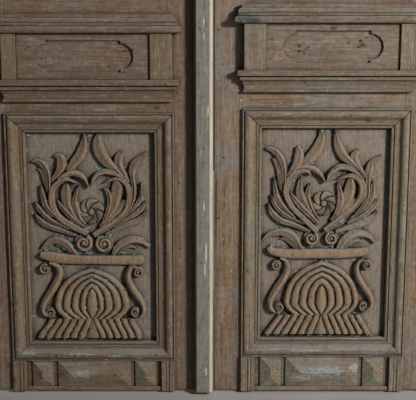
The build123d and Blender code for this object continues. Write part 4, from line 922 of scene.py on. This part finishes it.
# Each row of heads: its piece, half the distance across, heights, face and the way it faces, radius and rise
for name, half, heights, face, facing, radius, rise in (
        ("front_plate_screws", 13, (lever_height - 50, lever_height + 50), front_face - 3, -1, 3, 1),
        ("bolt_case_screws", 12, (lever_height - 36, lever_height + 36), case_front, 1, 3, 1),
        ("rod_guide_screws", 12, guide_heights, guide_front, 1, 2.4, 0.6)):
    spots = [((x, face, z), (0, facing, 0)) for x in (lever_x - half, lever_x + half) for z in heights]
    heads(name, "right_leaf", spots, radius, rise)

# Short bolts of the left leaf
# Flat iron bolts with a knob, sliding in two staples on a plate, at the head and the foot.
for node, edge in (("top_bolt", 0.0008), ("bottom_bolt", 0.0008), ("bolt_plates", 0.0006)):
    eased(node, edge, [forged_iron], angle=50)
short_bolt_x = -45
plate_screw_heights = (61, 181, 2211, 2331)
spots = [((short_bolt_x + x, back_face + 2, z), (0, 1, 0)) for z in plate_screw_heights for x in (-12, 12)]
heads("bolt_plate_screws", "left_leaf", spots, 2.8, 0.9)

# Old nails
# Cut nails that hold the mouldings, the cornices, the plinth and the cover strip. Their small heads
# were punched in and have rusted black.
front_pieces = ("moulding_run", "plinth_posts_worn", "plinth_blocks_worn", "shelf", "hood", "frieze_board_worn",
                "frieze_blocks_worn", "bottom_rail_worn", "lock_rail_worn", "hinge_stile_worn", "meeting_stile_worn")
strip_nail_heights = (70, 360, 655, 950, 1300, 1640, 1980, 2290)
moulding_half_height = 325
for side, sign in (("left", -1), ("right", 1)):
    trees = []
    for name in [f"{side}_{piece}" for piece in front_pieces] + ["cover_strip_worn"] * (side == "left"):
        mesh = bpy.data.objects[name].data
        trees.append(BVHTree.FromPolygons([v.co for v in mesh.vertices], [p.vertices for p in mesh.polygons]))
    hand = random.Random(7 + sign)
    middle, height = panel_middle[side]
    foot = height - moulding_half_height
    # From the moulding's foot and middle: its level and upright lengths, the frieze, the cornices, the plinth
    places = [(middle + x, foot + z) for x in (-160, -55, 60, 165) for z in (14, 636)]
    places += [(middle + x, foot + z) for z in (90, 235, 410, 560) for x in (-199, 199)]
    places += [(middle + x, foot + 790 + hand.uniform(-30, 30)) for x in (-150, -145, -118, -100, 60, 96, 100)]
    places += [(middle + x, foot + z) for x in (-190, -60, 70, 190) for z in (720, 875)]
    places += [(middle + x, foot - 40) for x in (-200, -145, -60, 55, 140, 200)]
    places += [(sign * 78, foot + z) for z in (300, 470, 700, 880)]
    if side == "left":
        places += [(-14, z) for z in strip_nail_heights]
    nails = []
    for x, z in places:
        start = Vector(((x + hand.uniform(-6, 6)) / 1000, -0.5, (z + hand.uniform(-5, 5)) / 1000))
        found = [hit for hit in (tree.ray_cast(start, Vector((0, 1, 0))) for tree in trees) if hit[0]]
        if found:
            nearest = min(found, key=lambda hit: hit[3])
            nails.append((nearest[0] * 1000, nearest[1]))
    heads(f"{side}_nails", side + "_leaf", nails, 1.9, 0.25, rusty_iron)

# Floor, light and camera
# A pale matt screed. A window half a metre wide lights the carving low from the right, and a lamp
# lights the room side. The rest of the light is weak, because the photograph's shadows are nearly black.
floor_mesh = bpy.data.meshes.new("floor")
floor_mesh.from_pydata([(-6, -6, 0), (6, -6, 0), (6, 4, 0), (-6, 4, 0)], [], [(0, 1, 2, 3)])
floor = bpy.data.objects.new("floor", floor_mesh)
scene.collection.objects.link(floor)
screed, tree = blank("pale_floor")
place = add(tree, "TexCoord")
cloud = add(tree, "TexNoise", {"Scale": 5, "Detail": 6, "Roughness": 0.6}, [("Vector", place, "Object")])
tone = add(tree, "Mix", {6: "#a9aaad", 7: "#b9babd"}, [(0, cloud, "Fac")])
matt = add(tree, "BsdfPrincipled", {"Roughness": 0.8}, [("Base Color", tone, 2)])
add(tree, "OutputMaterial", None, [(0, matt)])
floor_mesh.materials.append(screed)


def aimed(name, data, place, target):
    """A lamp or a camera that looks at a target."""
    piece = bpy.data.objects.new(name, data)
    scene.collection.objects.link(piece)
    piece.location = place
    piece.rotation_euler = (Vector(target) - piece.location).to_track_quat("-Z", "Y").to_euler()
    return piece


for name, watts, size, tint, place, target in (
        ("window", 176, 0.5, "#fff6ea", (2.6, -2.8, 1.9), (0, 0, 0.6)),
        ("room_lamp", 330, 1.3, "#ffffff", (-3.0, 6.5, 0.95), (0, 0, 1.1))):
    lamp = bpy.data.lights.new(name, "AREA")
    lamp.energy = watts
    lamp.size = size
    lamp.color = linear(tint)[:3]
    aimed(name, lamp, place, target)

sky = bpy.data.worlds.new("room")
scene.world = sky
sky.use_nodes = True
sky.node_tree.nodes["Background"].inputs["Color"].default_value = linear("#dfe4ec")
sky.node_tree.nodes["Background"].inputs["Strength"].default_value = 0.05

# The camera stands where the mouldings, the cornices and the floor line fall as in the photograph.
leaf_front = front_face / 1000
distance, eye_height, aim_height = 2.3, 0.932, 0.517
focal_pixels, frame_pixels = 916, 416
lens = bpy.data.cameras.new("camera")
lens.sensor_width = 36
lens.lens = lens.sensor_width * focal_pixels / frame_pixels
scene.camera = aimed("camera", lens, (0, leaf_front - distance, eye_height), (0, leaf_front, aim_height))
scene.view_settings.view_transform = "Standard"
